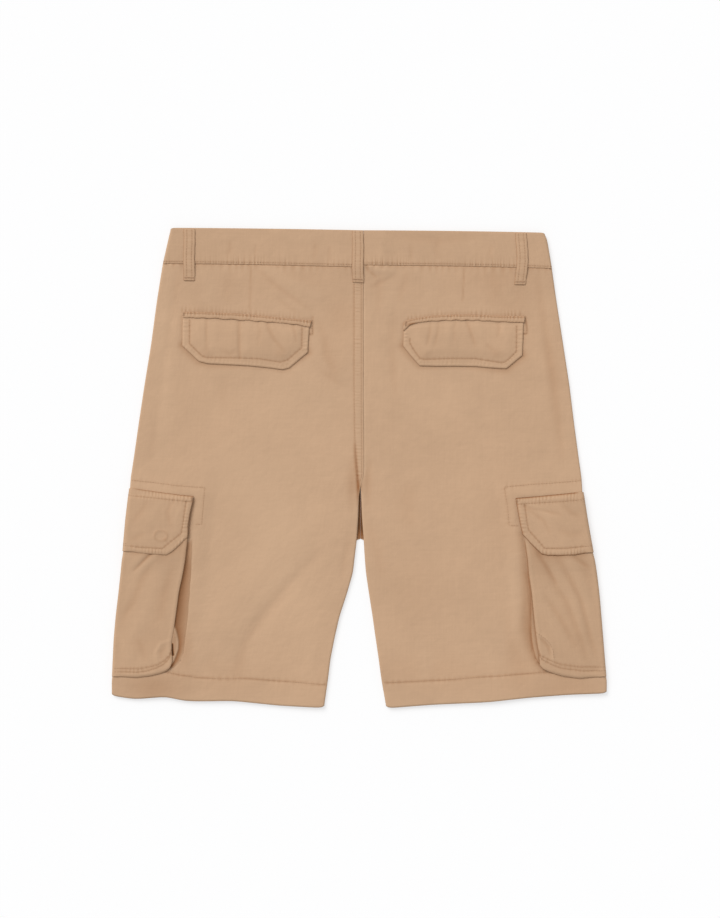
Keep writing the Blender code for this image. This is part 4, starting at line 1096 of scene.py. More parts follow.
def flap_place(side):
    """Where the stations of a back pocket's flap lie."""
    columns = FLAPS[side]
    outline = [(columns[0].top_x, columns[0].top_y)] + [(row.foot_x, row.foot_y) for row in columns]
    outline += [(columns[-1].top_x, columns[-1].top_y)]

    def place(across, down):
        x, y = pocket_point(columns, across, down)
        from_edge, along, _ = near_path(outline, x, y)
        ripple = uneven(along, 4.4) * np.exp(-((from_edge - 3.4) / 2.6) ** 2)
        body = ramp(from_edge, 20.0, 6.5) * ramp(down, 0.3, 0.0)
        puff = 0.25 * np.sin(math.pi * down) + FLAP_PUFF * body
        seam, wear = seam_press([FLAP_STITCHES[side]], x, y)
        creases = crease_height(FLAP_CREASES[side], x, y) * ramp(from_edge, 11.0, 3.0)
        rim = np.exp(-from_edge / 0.55)
        lip = np.exp(-((from_edge - 2.2) / 1.4) ** 2)
        start = between(FLAP_HEAD, STEP, ramp(down, 0.12, 0.03))
        height = back_panel_top(side, x, y) + start + puff + creases + seam + EDGE_RIPPLE * ripple
        low = 0.3 * rim + EDGE_SINK * np.exp(-from_edge / 1.3)
        height = height + 0.12 * lip - low * ramp(down, 0.1, 0.03)
        for spot_x, spot_y in FLAP_BUTTONS[side]:
            spot = np.exp(-((x - spot_x) ** 2 + (y - spot_y) ** 2) / 6.0 ** 2)
            height = height + 0.3 * spot
            wear = wear - 0.09 * spot
        # Painted shade round the flap's rim, deeper along the right flap's lit left edge, a painted highlight
        # on the lip inside the rim, painted shade and highlight over the creases and puckers, and painted
        # shade on the buttons' bumps.
        lit_edge = np.exp(-abs(x - columns[0].foot_x) / 2.0) if side > 0 else 0.0
        dark = wear + creases * 0.3 + 0.15 * ripple + 0.3 * lip - (0.42 + 0.40 * lit_edge) * rim
        return x, y + FLAP_TUCK * ramp(down, 0.0, 0.06), height, dark

    return place


def make_back_pockets(settings):
    """A welt strip on each side, and the flap that hangs from under it."""
    material = settings.material("twill_back_pocket")
    sewing = []
    for side in (-1, 1):
        word = side_name(side)
        below = (side * 125, 150, -2000)
        strip = "welt_cloth_" + word
        down = runs(0.0, (0.15, 0.05), (0.9, 0.11), (1.0, 0.05))
        piece = lay_cloth(strip, runs(0.0, (1.0, 0.8 / 147)), down, welt_place(side), below,
                          settings.pocket_wall, material)
        finish_piece(piece, "back_pocket_welt_" + word)
        flap = "back_flap_cloth_" + word
        piece = lay_cloth(flap, runs(0.0, (0.03, 0.004), (0.97, 1.15 / 145), (1.0, 0.004)),
                          runs(0.0, (0.86, 0.021), (1.0, 0.012)), flap_place(side), below,
                          settings.pocket_wall, material)
        finish_piece(piece, "back_pocket_flap_" + word)
        sewing.append(surface_path(strip, welt_place(side), [(0.01, 0.27), (0.99, 0.27)]))
        sewing.append(flat_path(flap, FLAP_STITCHES[side].points))
        sewing.append(flat_path("back_cloth_" + word, PANEL_SEAMS[side][-1].points[1:]))
        first = WELTS[side][0]
        if side < 0:
            tack = [(first.top_x + 1.2, first.top_y - 1), (first.foot_x + 1.2, first.foot_y + 1)]
        else:
            tack = [(first.top_x + 4.4, first.top_y + 2.4), (first.top_x + 3.2, first.top_y - 4.7)]
        sewing.append(flat_path(strip, tack, tack=True))
    kinds = ("back_pocket_flap_", "back_pocket_welt_")
    nodes = [kind + side_name(side) for kind in kinds for side in (-1, 1)]
    declare_sheets(nodes, join_stitches("back_pocket_stitches", sewing, settings))


# Side pockets

def wrap_place(side, inset, free_x, under, top):
    """Where the stations of a piece that folds round the side lie.

    Stations run -1 to 0 on the front from the free edge to the fold, 0 to 1 round it and 1 to 2 on the
    back.  Each function is read at Y: inset and free_x give X sizes, under and top give heights.
    """

    def place(station, y):
        fold = side_x(side, y) - side * inset(y)
        low = under(fold - side * 3, y, 0.0)
        high = top(fold - side * 3, y, 0.0)
        radius = (high - low) / 2
        turn = np.clip(station, 0, 1)
        angle = between(-math.pi / 2, math.pi / 2, turn)
        share = np.clip(np.where(station < 0, -station, station - 1), 0, 1)
        flat_x = between(fold - side * radius, free_x(y), share)
        turning = (station >= 0) & (station <= 1)
        x = np.where(turning, fold - side * radius * (1 - np.cos(angle)), flat_x)
        height = np.where(station < 0, under(x, y, share), top(x, y, share))
        height = np.where(turning, (low + high) / 2 + radius * np.sin(angle), height)
        return x, height, share

    return place


BAG_SEAMS = {
    -1: [
        Seam([(-214, -206), (-217.7, -214.7), (-223.5, -220.5), (-231.5, -225.1), (-240.7, -227.9),
              (-252.2, -229.8), (-290, -229.5)], 0.3, 0.14, 5.0, 2.6),
        Seam([(-214, -210), (-219, -219.5), (-225.0, -225), (-233, -229.0), (-242, -231.9), (-253, -233.8),
              (-290, -233.5)], 0.3, 0.14, 5.4, 2.6),
    ],
    1: [
        Seam([(204, -207), (207.8, -214.7), (219.3, -220.5), (230.8, -225.1), (253.8, -227.9), (290, -227.9)],
             0.3, 0.14, 5.0, 2.6),
        Seam([(205, -213), (210, -219.6), (220.5, -225), (232, -229.4), (254, -232.2), (290, -232.2)],
             0.3, 0.14, 5.4, 2.6),
        Seam([(201, -187), (207.1, -190.9), (214.1, -196.1), (219.3, -202), (222.4, -209), (223.4, -219)],
             0.14, 0.05, 5.0, 2.6),
    ],
}
BAG_CREASES = {
    -1: rows_of(Crease, [
        ([(-232, -92), (-243, -102), (-260, -119)], -1.0, 1.4),
        ([(-228, -94), (-240, -107), (-256, -124)], 0.55, 3.4),
        ([(-244, -94), (-253, -104), (-266, -116)], 0.35, 3.4),
        ([(-236, -100), (-250, -128), (-259, -152), (-280, -186)], -0.5, 5.0),
        ([(-226, -110), (-238, -140), (-246, -168), (-262, -200)], 0.5, 7.0),
        ([(-212, -106), (-222, -140), (-228, -176)], -0.35, 5.0),
        ([(-231, -226), (-233, -210), (-227, -201), (-214, -197)], 0.6, 1.9),
        ([(-226, -220), (-227, -211), (-221, -205)], -0.4, 2.6),
        ([(-244, -222), (-250, -205), (-258, -190)], -0.35, 4.0),
        ([(-262, -224), (-266, -208), (-272, -196)], 0.3, 4.0),
    ]),
    1: rows_of(Crease, [
        ([(203, -96), (215, -114), (227, -134)], -0.9, 2.6),
        ([(224, -96), (242, -128), (254, -152), (266, -198), (275, -220)], -0.6, 4.0),
        ([(234, -96), (252, -126), (264, -158), (274, -196)], 0.55, 6.0),
        ([(210, -114), (237, -151), (254, -198), (262, -224)], -0.5, 4.2),
        ([(218, -108), (245, -150), (258, -190)], 0.4, 6.0),
        ([(208, -142), (231, -174), (250, -208)], -0.45, 4.0),
        ([(202, -140), (222, -176), (238, -208)], 0.4, 6.0),
        ([(202, -188), (213.6, -195), (220.5, -203), (222.8, -214), (221, -228)], 0.9, 1.6),
        ([(205, -192), (212, -199), (217.5, -206), (219, -215)], -0.7, 2.0),
        ([(244, -100), (260, -111), (274, -120)], -0.7, 2.6),
    ]),
}


def bag_level(side, station, row):
    """Y of a row of a pocket bag: straight down to the corner, then spread to the curved foot."""
    share = np.clip(np.where(station < 0, -station, station - 1), 0, 1)
    foot = read(BAG_FOOT, "share", side_name(side), share, 0.03)
    return np.where(row > BAG_CORNER, row, between(BAG_CORNER, foot, (BAG_CORNER - row) / 40.0))


def bag_place(side):
    """Where the stations of a side pocket's bag lie."""
    name = side_name(side)
    wrap = wrap_place(side, lambda y: read(INSETS, "y", "bag", y, 3.0),
                      lambda y: read(BAG_EDGE, "y", name, y, 5.0),
                      lambda x, y, share: read(LEVELS, "y", "bag_lift", y, 4.0),
                      lambda x, y, share: bag_top(side, x, y, share))

    def place(station, row):
        y = bag_level(side, station, row)
        x, height, share = wrap(station, y)
        on_back = ramp(station, 1.14, 1.0)
        seam, wear = seam_press(BAG_SEAMS[side], x, y)
        creases = crease_height(BAG_CREASES[side], x, y)
        foot = read(BAG_FOOT, "share", name, share, 0.03)
        from_edge = np.minimum(abs(x - read(BAG_EDGE, "y", name, y, 5.0)), y - foot)
        rim = np.exp(-np.maximum(from_edge, 0) / 0.9)
        lip = 0.3 * np.exp(-((from_edge - 3.0) / 2.0) ** 2)
        down_to = back_panel_top(side, x, y) + BAG_FOOT_LEVEL
        height = between(height, down_to, np.exp(-(y - foot) / 3.0) * ramp(share, 0.8, 0.95) * on_back)
        height = height + on_back * (seam + creases + lip - 0.45 * rim)
        # Painted shadow on the bag below its flap's foot, with painted shade at the rim, a painted highlight
        # on the lip inside it and painted shade and highlight over the creases.
        flap_foot = read(FLAP_SPAN, "share", "foot_" + name, share, 0.02)
        under_flap = np.exp(-np.maximum(flap_foot - y, 0) / 3.6)
        dark = wear + 0.3 * creases - 0.20 * rim + 0.2 * lip + patch_fade_and_shade(BAG_PATCHES[side], x, y)
        dark = dark - (0.34 if side > 0 else 0.24) * under_flap
        return x, y, height, on_back * dark

    return place


BAG_FOOT_LEVEL = 1.0    # the foot of a bag comes down to this height over the panel
# Painted shade under the flaps' free corners, and broad areas of the bags made a little darker or lighter.
BAG_PATCHES = {
    -1: rows_of(Patch, [
        (-232, -150, 14, 46, -0.05), (-262, -130, 14, 30, 0.06), (-250, -200, 30, 14, -0.04),
        (-200, -96, 6, 13, -0.20),
    ]),
    1: rows_of(Patch, [
        (212, -112, 18, 14, -0.10), (262, -120, 16, 24, -0.10), (246, -190, 30, 40, -0.03),
        (203, -96, 7, 10, -0.20),
    ]),
}

SIDE_FLAP_STITCHES = {
    -1: Seam([(-198.1, -36), (-201.6, -59.5), (-203.9, -74.4), (-215.4, -83.6), (-225.7, -91.9),
              (-252.2, -90.5), (-290, -85.5)], 0.3, 0.10, 5.4, 2.6),
    1: Seam([(189.4, -40), (191.7, -59.5), (194.0, -71.0), (204.4, -82.5), (212.4, -91.9),
             (236.6, -91.7), (290, -86.5)], 0.3, 0.10, 5.4, 2.6),
}
SIDE_FLAP_HEADS = {
    -1: Seam([(-290, -29.5), (-263.7, -31.2), (-229.2, -34.6), (-184, -39.4)], 0.2, 0.16, 4.4, 3.6),
    1: Seam([(290, -34.0), (257.3, -35.9), (230.8, -38.2), (174, -41.5)], 0.2, 0.16, 4.4, 3.6),
}
SIDE_FLAP_CREASES = {
    -1: rows_of(Crease, [
        ([(-214, -36), (-220, -52), (-216, -68)], -0.35, 3.0),
        ([(-226, -36), (-236, -52), (-240, -66)], 0.4, 4.5),
        ([(-242, -36), (-250, -50), (-262, -62)], -0.3, 3.5),
        ([(-206, -44), (-210, -60), (-208, -72)], 0.3, 2.6),
        ([(-246, -74), (-256, -80), (-268, -82)], -0.3, 3.0),
    ]),
    1: rows_of(Crease, [
        ([(186, -42), (198, -50), (212, -61), (219, -76)], -0.45, 2.4),
        ([(185, -42), (204, -48), (232, -53)], -0.6, 2.0), ([(192, -42), (210, -50), (226, -64)], 0.4, 4.0),
        ([(232, -40), (244, -52), (262, -58)], -0.4, 3.0), ([(246, -40), (254, -48), (270, -52)], 0.3, 3.0),
        ([(228, -70), (242, -76), (258, -74)], -0.3, 3.6),
    ]),
}
FLAP_BUTTON = (-227.4, -77.2, 7.4)      # where a hidden button shows through the left flap
# How much more or less painted shade the rim of each side flap gets in places.
RIM_PATCHES = {-1: [Patch(-254, -96, 10, 8, -0.5)], 1: [Patch(204, -86, 14, 14, 0.5)]}


def side_flap_place(side):
    """Where the stations of a side pocket's flap lie: rows run 0 to 1 down it."""
    name = side_name(side)

    def top(x, y, share):
        on_bag = bag_top(side, x, y, share)
        return between(back_panel_top(side, x, y), on_bag, ramp(y, BAG_HEAD + 2, BAG_HEAD + 10)) + STEP

    wrap = wrap_place(side, lambda y: 0.0, lambda y: read(FLAP_EDGE, "y", name, y, 3.0),
                      lambda x, y, share: np.zeros(np.shape(x)), top)

    def place(station, row):
        share = np.clip(np.where(station < 0, -station, station - 1), 0, 1)
        head = read(FLAP_SPAN, "share", "top_" + name, share, 0.02)
        foot = read(FLAP_SPAN, "share", "foot_" + name, share, 0.02)
        y = between(head, foot, row)
        x, height, share = wrap(station, y)
        on_back = ramp(station, 1.12, 1.0)
        seams = [SIDE_FLAP_STITCHES[side], SIDE_FLAP_HEADS[side]]
        seam, wear = seam_press(seams, x, y)
        creases = crease_height(SIDE_FLAP_CREASES[side], x, y)
        from_free = abs(x - read(FLAP_EDGE, "y", name, y, 3.0))
        from_edge = np.minimum(np.minimum(from_free, y - foot), head - y)
        rim = np.exp(-np.maximum(from_edge, 0) / (0.5 if side < 0 else 0.9))
        head_rim = np.exp(-np.maximum(head - y, 0) / 1.0)
        lip = 0.25 * np.exp(-((from_edge - 4.0) / 2.2) ** 2)
        along = np.where(from_free < np.minimum(head - y, y - foot), y, x)
        ripple = uneven(along, 4.0) * np.exp(-((from_edge - 3.6) / 2.8) ** 2)
        press = seam + creases * ramp(from_edge, 10.0, 3.0) + lip - 0.3 * rim - 0.2 * head_rim
        side_sink = (0.6 if side < 0 else 1.0) * np.exp(-np.maximum(from_free, 0) / 1.3)
        foot_sink = (1.5 if side < 0 else 1.2) * np.exp(-np.maximum(y - foot, 0) / 1.3)
        press = press - EDGE_SINK * np.maximum(side_sink, foot_sink)
        press = press + EDGE_RIPPLE * ripple
        if side < 0:
            button_x, button_y, button_radius = FLAP_BUTTON
            from_button = np.hypot(x - button_x, (y - button_y) * 1.25)
            ring = np.exp(-((from_button - button_radius) / 1.3) ** 2)
            fill = np.exp(-(from_button / 5.0) ** 2)
            foot_side = np.exp(-(np.hypot(x - button_x - 5.0, y - button_y + 4.5) / 3.2) ** 2)
            press = press + 0.55 * ring - 0.15 * fill
            # Painted shade on the ring round the hidden button and to its lower right, and a painted
            # highlight over its middle.
            wear = wear - 0.16 * ring + 0.10 * fill - 0.16 * foot_side
        else:
            press = press + 0.3 * np.exp(-((x - 218) ** 2 + (y + 78) ** 2) / 6.0 ** 2)
        # Painted shade along the rim and the sewn head, deeper towards the free corner, a painted highlight
        # on the lip, and painted shade and highlight over the creases and puckers.
        edge_shade = (0.55 if side < 0 else 1.1) * (1 + patch_fade_and_shade(RIM_PATCHES[side], x, y))
        free_corner = ramp(share, 0.9, 0.6)
        dark = wear + 0.3 * creases - edge_shade * rim - (0.4 + 0.3 * free_corner) * head_rim
        dark = dark + 0.3 * lip + 0.34 * ripple
        return x, y, height + on_back * press, on_back * dark

    return place


# The left gusset bulges beside the lower part of its bag: Y and X of the edge of the bulge.
Bulge = namedtuple("Bulge", "y x")
GUSSET_BULGE = rows_of(Bulge, [
    (-176, -214.5), (-181, -212.0), (-187, -209.2), (-198, -206.9), (-207.5, -207.1), (-215.5, -209.8),
    (-222.4, -212.7), (-226, -216.4), (-230.8, -220.5), (-234, -230),
])
GUSSET_SLIT = [(-214.6, -202), (-214.4, -208), (-213.8, -214)]
GUSSET_LEVEL = 0.1      # a gusset lies level with the panel,
SEWN_DEPTH = 0.5        # and dips under its roll where it is sewn
BULGE_HEIGHT = 1.4


def gusset_place(side):
    """Where the stations of a gusset lie: 0 to 1 from its sewn edge to its tucked one, and down it."""
    path = GUSSETS[side]
    order = np.linspace(0, 1, len(path))

    def along(name, share):
        values = [getattr(row, name) for row in path]
        return sum(weight * np.interp(share + step * 0.05, order, values) for step, weight in BLUR_STEPS)

    def place(across, share):
        x = between(along("sewn_x", share), along("tucked_x", share), across)
        y = between(along("sewn_y", share), along("tucked_y", share), across)
        bag_edge = read(BAG_EDGE, "y", side_name(side), y, 5.0)
        edge_height = read(BAG_EDGE, "y", "puff", along("tucked_y", share), 5.0)
        from_sewn = side * (x - gusset_sewn_x(side, y))
        span = side * (bag_edge - gusset_sewn_x(side, y))
        bulge = 0.0
        if side < 0:
            bulge_x = read(GUSSET_BULGE, "y", "x", y, 3.0)
            bulge = ramp(bulge_x - x, 1.3, -0.5) * ramp(y, -179.0, -175.0)
            bulge_span = side * (bulge_x - gusset_sewn_x(side, y))
            span = np.where(y < -176, np.minimum(span, bulge_span), span)
        reach = np.clip(from_sewn / np.maximum(span, 3.0), 0.0, 1.0)
        lift = between(GUSSET_LEVEL, edge_height * 0.8, ramp(across, 0.75, 0.35) * ramp(share, 0.82, 0.9))
        lift = lift - SEWN_DEPTH * ramp(from_sewn, 0.0, 2.2)
        on_panel = crease_height(PANEL_CREASES[side], x, y) * ramp(across, 0.0, 0.4)
        height = back_panel_top(side, x, y) + lift + on_panel + BULGE_HEIGHT * bulge
        at_top = ramp(share, 0.06, 0.0)
        # The last value is painted shade: the bag's edge casts a painted shadow across the gusset, darker
        # towards the bag, with painted shade in the slit and along the sewn edge, and a painted highlight on
        # the crest of the left bulge.
        if side < 0:
            slit = np.exp(-(near_path(GUSSET_SLIT, x, y)[0] / 1.3) ** 4)
            crest = np.exp(-((bulge_x - x - 1.6) / 1.1) ** 2) * ramp(y, -179.0, -175.0)
            valley = -0.30 + 0.18 * ramp(y, -96.0, -116.0) - 0.66 * reach ** 0.9
            shade = between(valley, -0.26, bulge) + 0.30 * crest - 1.7 * slit
            shade = shade * between(1.0, ramp(from_sewn, 5.0, 0.0), ramp(y, -222.0, -198.0) * (1 - bulge))
        else:
            sewn = np.exp(-(from_sewn / 1.3) ** 2) * ramp(y, -135.0, -100.0)
            tucked = np.exp(-(abs(bag_edge - x) / 1.2) ** 2)
            shade = -0.22 - 0.75 * sewn - 0.42 * tucked - 0.5 * ramp(x - bag_edge, 2.0, 0.0)
        return x, y, height, shade * at_top

    return place


def wrapped_stations(step):
    """Stations of a piece round the side fold, these millimetres apart where it shows."""
    return np.concatenate([runs(-1.0, (0.0, 4.0 / 72)), np.linspace(0, 1, 13)[1:],
                           runs(1.0, (1.9, step / 70), (2.0, 0.01))[1:]])


def make_side_pockets(settings):
    """A bag, its gusset and its flap on each side."""
    material = settings.material("twill_side_pocket")
    gusset_material = settings.material("twill_gusset")
    sewing = []
    for side in (-1, 1):
        word = side_name(side)
        fold_inside = (side * 240, -140, BODY_TOP / 2)
        bag = "bag_cloth_" + word
        rows = runs(-235.0, (-232, 0.8), (BAG_CORNER, 1.4), (BAG_HEAD, 1.9))
        piece = lay_cloth(bag, wrapped_stations(1.35), rows, bag_place(side), fold_inside,
                          settings.pocket_wall, material)
        finish_piece(piece, "cargo_pocket_bag_" + word)
        for seam in BAG_SEAMS[side]:
            sewing.append(flat_path(bag, seam.points))

        gusset = "gusset_cloth_" + word
        piece = lay_cloth(gusset, runs(0.0, (1.0, 0.04)), runs(0.0, (1.0, 0.008)), gusset_place(side),
                          (side * 200, -150, -2000), settings.pocket_wall, gusset_material)
        finish_piece(piece, "cargo_pocket_gusset_" + word)

        flap = "side_flap_cloth_" + word
        rows = runs(0.0, (0.04, 0.01), (0.2, 0.016), (0.82, 0.023), (0.96, 0.016), (1.0, 0.01))
        place = side_flap_place(side)
        piece = lay_cloth(flap, wrapped_stations(0.85), rows, place, (side * 240, -60, BODY_TOP / 2),
                          settings.pocket_wall, material)
        finish_piece(piece, "cargo_pocket_flap_" + word)
        sewing.append(flat_path(flap, SIDE_FLAP_STITCHES[side].points))
        sewing.append(flat_path(flap, SIDE_FLAP_HEADS[side].points))
        sewing.append(surface_path(flap, place, [(-0.98, 0.1), (1.0, 0.1)]))
        sewing.append(surface_path(flap, place, [(-0.9, 0.88), (1.0, 0.88)]))
        corner = FLAP_SPAN[-1]
        edge = read(FLAP_EDGE, "y", word, -36.0)
        head = corner.top_left if side < 0 else corner.top_right
        tack = [(edge + side * 1.4, head - 1.0), (edge + side * 1.8, head - 6.5)]
        sewing.append(flat_path(flap, tack, tack=True))
    nodes = [piece + side_name(side) for piece in ("cargo_pocket_flap_", "cargo_pocket_bag_",
                                                   "cargo_pocket_gusset_") for side in (-1, 1)]
    declare_sheets(nodes, join_stitches("side_pocket_stitches", sewing, settings))


# Stitches

Sewn = namedtuple("Sewn", "points normals tack")
TACK_PITCH = 0.75
TACK_LENGTH = 1.9


def flat_path(cloth, points, tack=False, face=1, spacing=0.8):
    """A path of stitches drawn from above (face 1) or below, dropped on a piece of cloth."""
    tree = TREES[cloth]
    found = []
    for (x1, y1), (x2, y2) in zip(points, points[1:]):
        count = max(2, round(math.hypot(x2 - x1, y2 - y1) / spacing))
        for share in np.linspace(0, 1, count, endpoint=False):
            start = Vector((between(x1, x2, share), between(y1, y2, share), face * 60)) * MILLIMETRE
            place, normal, _, _ = tree.ray_cast(start, Vector((0, 0, -face)))
            if place is not None and normal.z * face > 0.25:
                found.append((place, normal))
    return Sewn([place for place, _ in found], [normal for _, normal in found], tack)


def surface_path(cloth, place, stations, tack=False, count=420):
    """A path of stitches that follows the stations of a piece of cloth."""
    tree = TREES[cloth]
    (across1, down1), (across2, down2) = stations
    share = np.linspace(0, 1, count)
    x, y, z, _ = place(between(across1, across2, share), between(down1, down2, share))
    places = []
    normals = []
    for point in np.stack(np.broadcast_arrays(x, y, z), axis=-1):
        spot, normal, _, _ = tree.find_nearest(Vector(point) * MILLIMETRE)
        places.append(spot)
        normals.append(normal)
    return Sewn(places, normals, tack)


def stitch_shape():
    """One stitch: a low-poly bead with its length along X, as corners and faces."""
    bm = bmesh.new()
    bmesh.ops.create_uvsphere(bm, u_segments=6, v_segments=4, radius=1.0,
                              matrix=Matrix.Rotation(math.pi / 2, 4, "Y"))
    bm.verts.ensure_lookup_table()
    corners = np.array([vertex.co[:] for vertex in bm.verts])
    faces = [[vertex.index for vertex in face.verts] for face in bm.faces]
    bm.free()
    return corners, faces


def join_stitches(name, sewing, settings):
    """Every stitch of a group of paths, as one mesh."""
    corners, faces = stitch_shape()
    random = np.random.default_rng(len(name))
    all_points = []
    all_faces = []
    for sewn in sewing:
        points = np.array([point[:] for point in sewn.points])
        normals = np.array([normal[:] for normal in sewn.normals])
        if len(points) < 3:
            continue
        steps = np.linalg.norm(np.diff(points, axis=0), axis=1)
        along = np.concatenate([[0.0], np.cumsum(steps)])
        pitch = (TACK_PITCH if sewn.tack else settings.stitch_pitch) * MILLIMETRE
        for centre in np.arange(pitch / 2, along[-1] - pitch / 2, pitch):
            start, end = centre - pitch * 0.36, centre + pitch * 0.36
            if np.max(np.diff(np.interp([start, end], along, np.arange(len(along))))) > 60:
                continue
            ends = [np.array([np.interp(place, along, points[:, axis]) for axis in range(3)])
                    for place in (start, centre, end)]
            up = np.array([np.interp(centre, along, normals[:, axis]) for axis in range(3)])
            up /= np.linalg.norm(up)
            forward = ends[2] - ends[0]
            length = np.linalg.norm(forward)
            if length < pitch * 0.3:
                continue
            forward = forward / length
            forward = forward - up * np.dot(forward, up)
            forward /= np.linalg.norm(forward)
            across = np.cross(up, forward)
            turn = random.normal(0, 0.05)
            forward, across = forward * math.cos(turn) + across * math.sin(turn), \
                across * math.cos(turn) - forward * math.sin(turn)
            thick = settings.thread_width * MILLIMETRE / 2 * random.uniform(0.9, 1.1)
            half = length / 2 * random.uniform(0.94, 1.04)
            if sewn.tack:
                half, forward, across = TACK_LENGTH * MILLIMETRE / 2, across, -forward
                thick = TACK_PITCH * MILLIMETRE * 0.42
            axes = np.stack([forward * half, across * thick, up * thick * 0.8])
            first = len(all_points) * len(corners)
            all_points.append(corners @ axes + ends[1] + up * thick * 0.25)
            all_faces.extend([index + first for index in face] for face in faces)
    mesh = bpy.data.meshes.new(name)
    mesh.from_pydata(np.concatenate(all_points).tolist(), [], all_faces)
    mesh.shade_smooth()
    mesh.materials.append(settings.material("thread"))
    item = bpy.data.objects.new(name, mesh)
    bpy.context.scene.collection.objects.link(item)
    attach(item, "root")
    return item


def make_panel_stitches(settings):
    """Rows sewn on the panels: hems, felled seam, fly, and the stays behind the side pockets."""
    sewing = []
    for side in (-1, 1):
        word = side_name(side)
        back = "back_cloth_" + word
        front = "front_cloth_" + word
        hem, stay = PANEL_SEAMS[side][:2]
        sewing.append(flat_path(back, hem.points))
        sewing.append(flat_path(back, stay.points))
        sewing.append(flat_path(front, FRONT_SEAMS[side][0].points, face=-1))
    for row in FELL_ROWS:
        sewing.append(flat_path("back_cloth_left", row.points))
    fly = FRONT_SEAMS[-1][1].points
    sewing.append(flat_path("front_cloth_left", fly, face=-1))
    sewing.append(flat_path("front_cloth_left", [(x + 3.5, y) for x, y in fly], face=-1))
    return join_stitches("panel_stitches", sewing, settings)


# Button

def make_button(settings):
    """The waist button: a turned disc with a raised rim and four holes."""
    centre_x = CENTRE_FRONT + LAP / 2
    seam = front_seam_y(-1, centre_x)
    head = waist_edge_y(WAIST_TOP, -1, centre_x) - front_drop(-1, centre_x)
    bm = bmesh.new()
    profile = [(2.2, 0.75), (5.2, 0.75), (6.2, 0.35), (7.2, 0.02), (8.0, 0.15), (8.45, 0.6), (8.5, 1.0),
               (8.1, 1.6), (6.4, 1.8), (0.0, 1.8)]
    rail = [bm.verts.new((radius * MILLIMETRE, 0, height * MILLIMETRE)) for radius, height in profile]
    edges = [bm.edges.new(pair) for pair in zip(rail, rail[1:])]
    bmesh.ops.spin(bm, geom=rail + edges, cent=(0, 0, 0), axis=(0, 0, 1), angle=FULL_TURN, steps=40,
                   use_merge=True)
    bmesh.ops.remove_doubles(bm, verts=bm.verts[:], dist=0.01 * MILLIMETRE)
    rim = [edge for edge in bm.edges if edge.is_boundary]
    bmesh.ops.holes_fill(bm, edges=rim, sides=0)
    bmesh.ops.recalc_face_normals(bm, faces=bm.faces[:])
    for quarter in range(4):
        angle = FULL_TURN * (quarter + 0.5) / 4
        spot = Vector((math.cos(angle) * 2.0, math.sin(angle) * 2.0, 0.72)) * MILLIMETRE
        hole = BUTTON_HOLE_RADIUS * MILLIMETRE
        bmesh.ops.create_cone(bm, cap_ends=True, segments=14, radius1=hole, radius2=hole,
                              depth=0.1 * MILLIMETRE, matrix=Matrix.Translation(spot))
    bmesh.ops.translate(bm, verts=bm.verts[:], vec=Vector((centre_x, (seam + head) / 2, 0)) * MILLIMETRE)
    mesh = bpy.data.meshes.new("waist_button_turned")
    bm.to_mesh(mesh)
    bm.free()
    mesh.set_sharp_from_angle(angle=math.radians(35))
    mesh.materials.append(settings.material("horn"))
    item = bpy.data.objects.new("waist_button_turned", mesh)
    bpy.context.scene.collection.objects.link(item)
    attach(item, "root")
    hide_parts("waist_button")


# Materials

def add_node(tree, kind, inputs=(), **values):
    """A node with its settings and inputs; an input is a value or another node's socket."""
    node = tree.nodes.new("ShaderNode" + kind)
    for name, value in values.items():
        setattr(node, name, value)
    for name, value in dict(inputs).items():
        socket = node.inputs[name]
        if isinstance(value, bpy.types.NodeSocket):
            tree.links.new(value, socket)
        else:
            socket.default_value = value
    return node


def maths(tree, operation, first, second=0.0):
    """A Math node's result."""
    return add_node(tree, "Math", {0: first, 1: second}, operation=operation).outputs[0]


def new_group(name, inputs, outputs):
    """An empty shader node group with named sockets, and its two end nodes."""
    tree = bpy.data.node_groups.new(name, "ShaderNodeTree")
    for label, kind, default in inputs:
        socket = tree.interface.new_socket(name=label, in_out="INPUT", socket_type="NodeSocket" + kind)
        if default is not None:
            socket.default_value = default
    for label, kind in outputs:
        tree.interface.new_socket(name=label, in_out="OUTPUT", socket_type="NodeSocket" + kind)
    start = tree.nodes.new("NodeGroupInput")
    end = tree.nodes.new("NodeGroupOutput")
    return tree, start, end


def twill_group():
    """Group: ribs of a twill weave as a height from 0 to 1, by the piece's own map."""
    tree, start, end = new_group("twill weave", [("Vector", "Vector", None), ("Pitch", "Float", 0.0006)],
                                 [("Height", "Float")])
    lanes = add_node(tree, "SeparateXYZ", {0: start.outputs["Vector"]})
    turn = maths(tree, "DIVIDE", FULL_TURN, start.outputs["Pitch"])
    across = maths(tree, "MULTIPLY", lanes.outputs["X"], turn)
    down = maths(tree, "MULTIPLY", lanes.outputs["Y"], turn)
    ribs = maths(tree, "SINE", maths(tree, "ADD", across, maths(tree, "MULTIPLY", down, 0.7)))
    threads = maths(tree, "SINE", maths(tree, "MULTIPLY", down, 2.0))
    height = maths(tree, "ADD", maths(tree, "MULTIPLY", ribs, 0.35), maths(tree, "MULTIPLY", threads, 0.15))
    tree.links.new(maths(tree, "ADD", height, 0.5), end.inputs["Height"])
    return tree


def blend(tree, factor, first, second):
    """Mix two colours."""
    mix = add_node(tree, "Mix", {"Factor": factor, 6: first, 7: second}, data_type="RGBA")
    return mix.outputs[2]


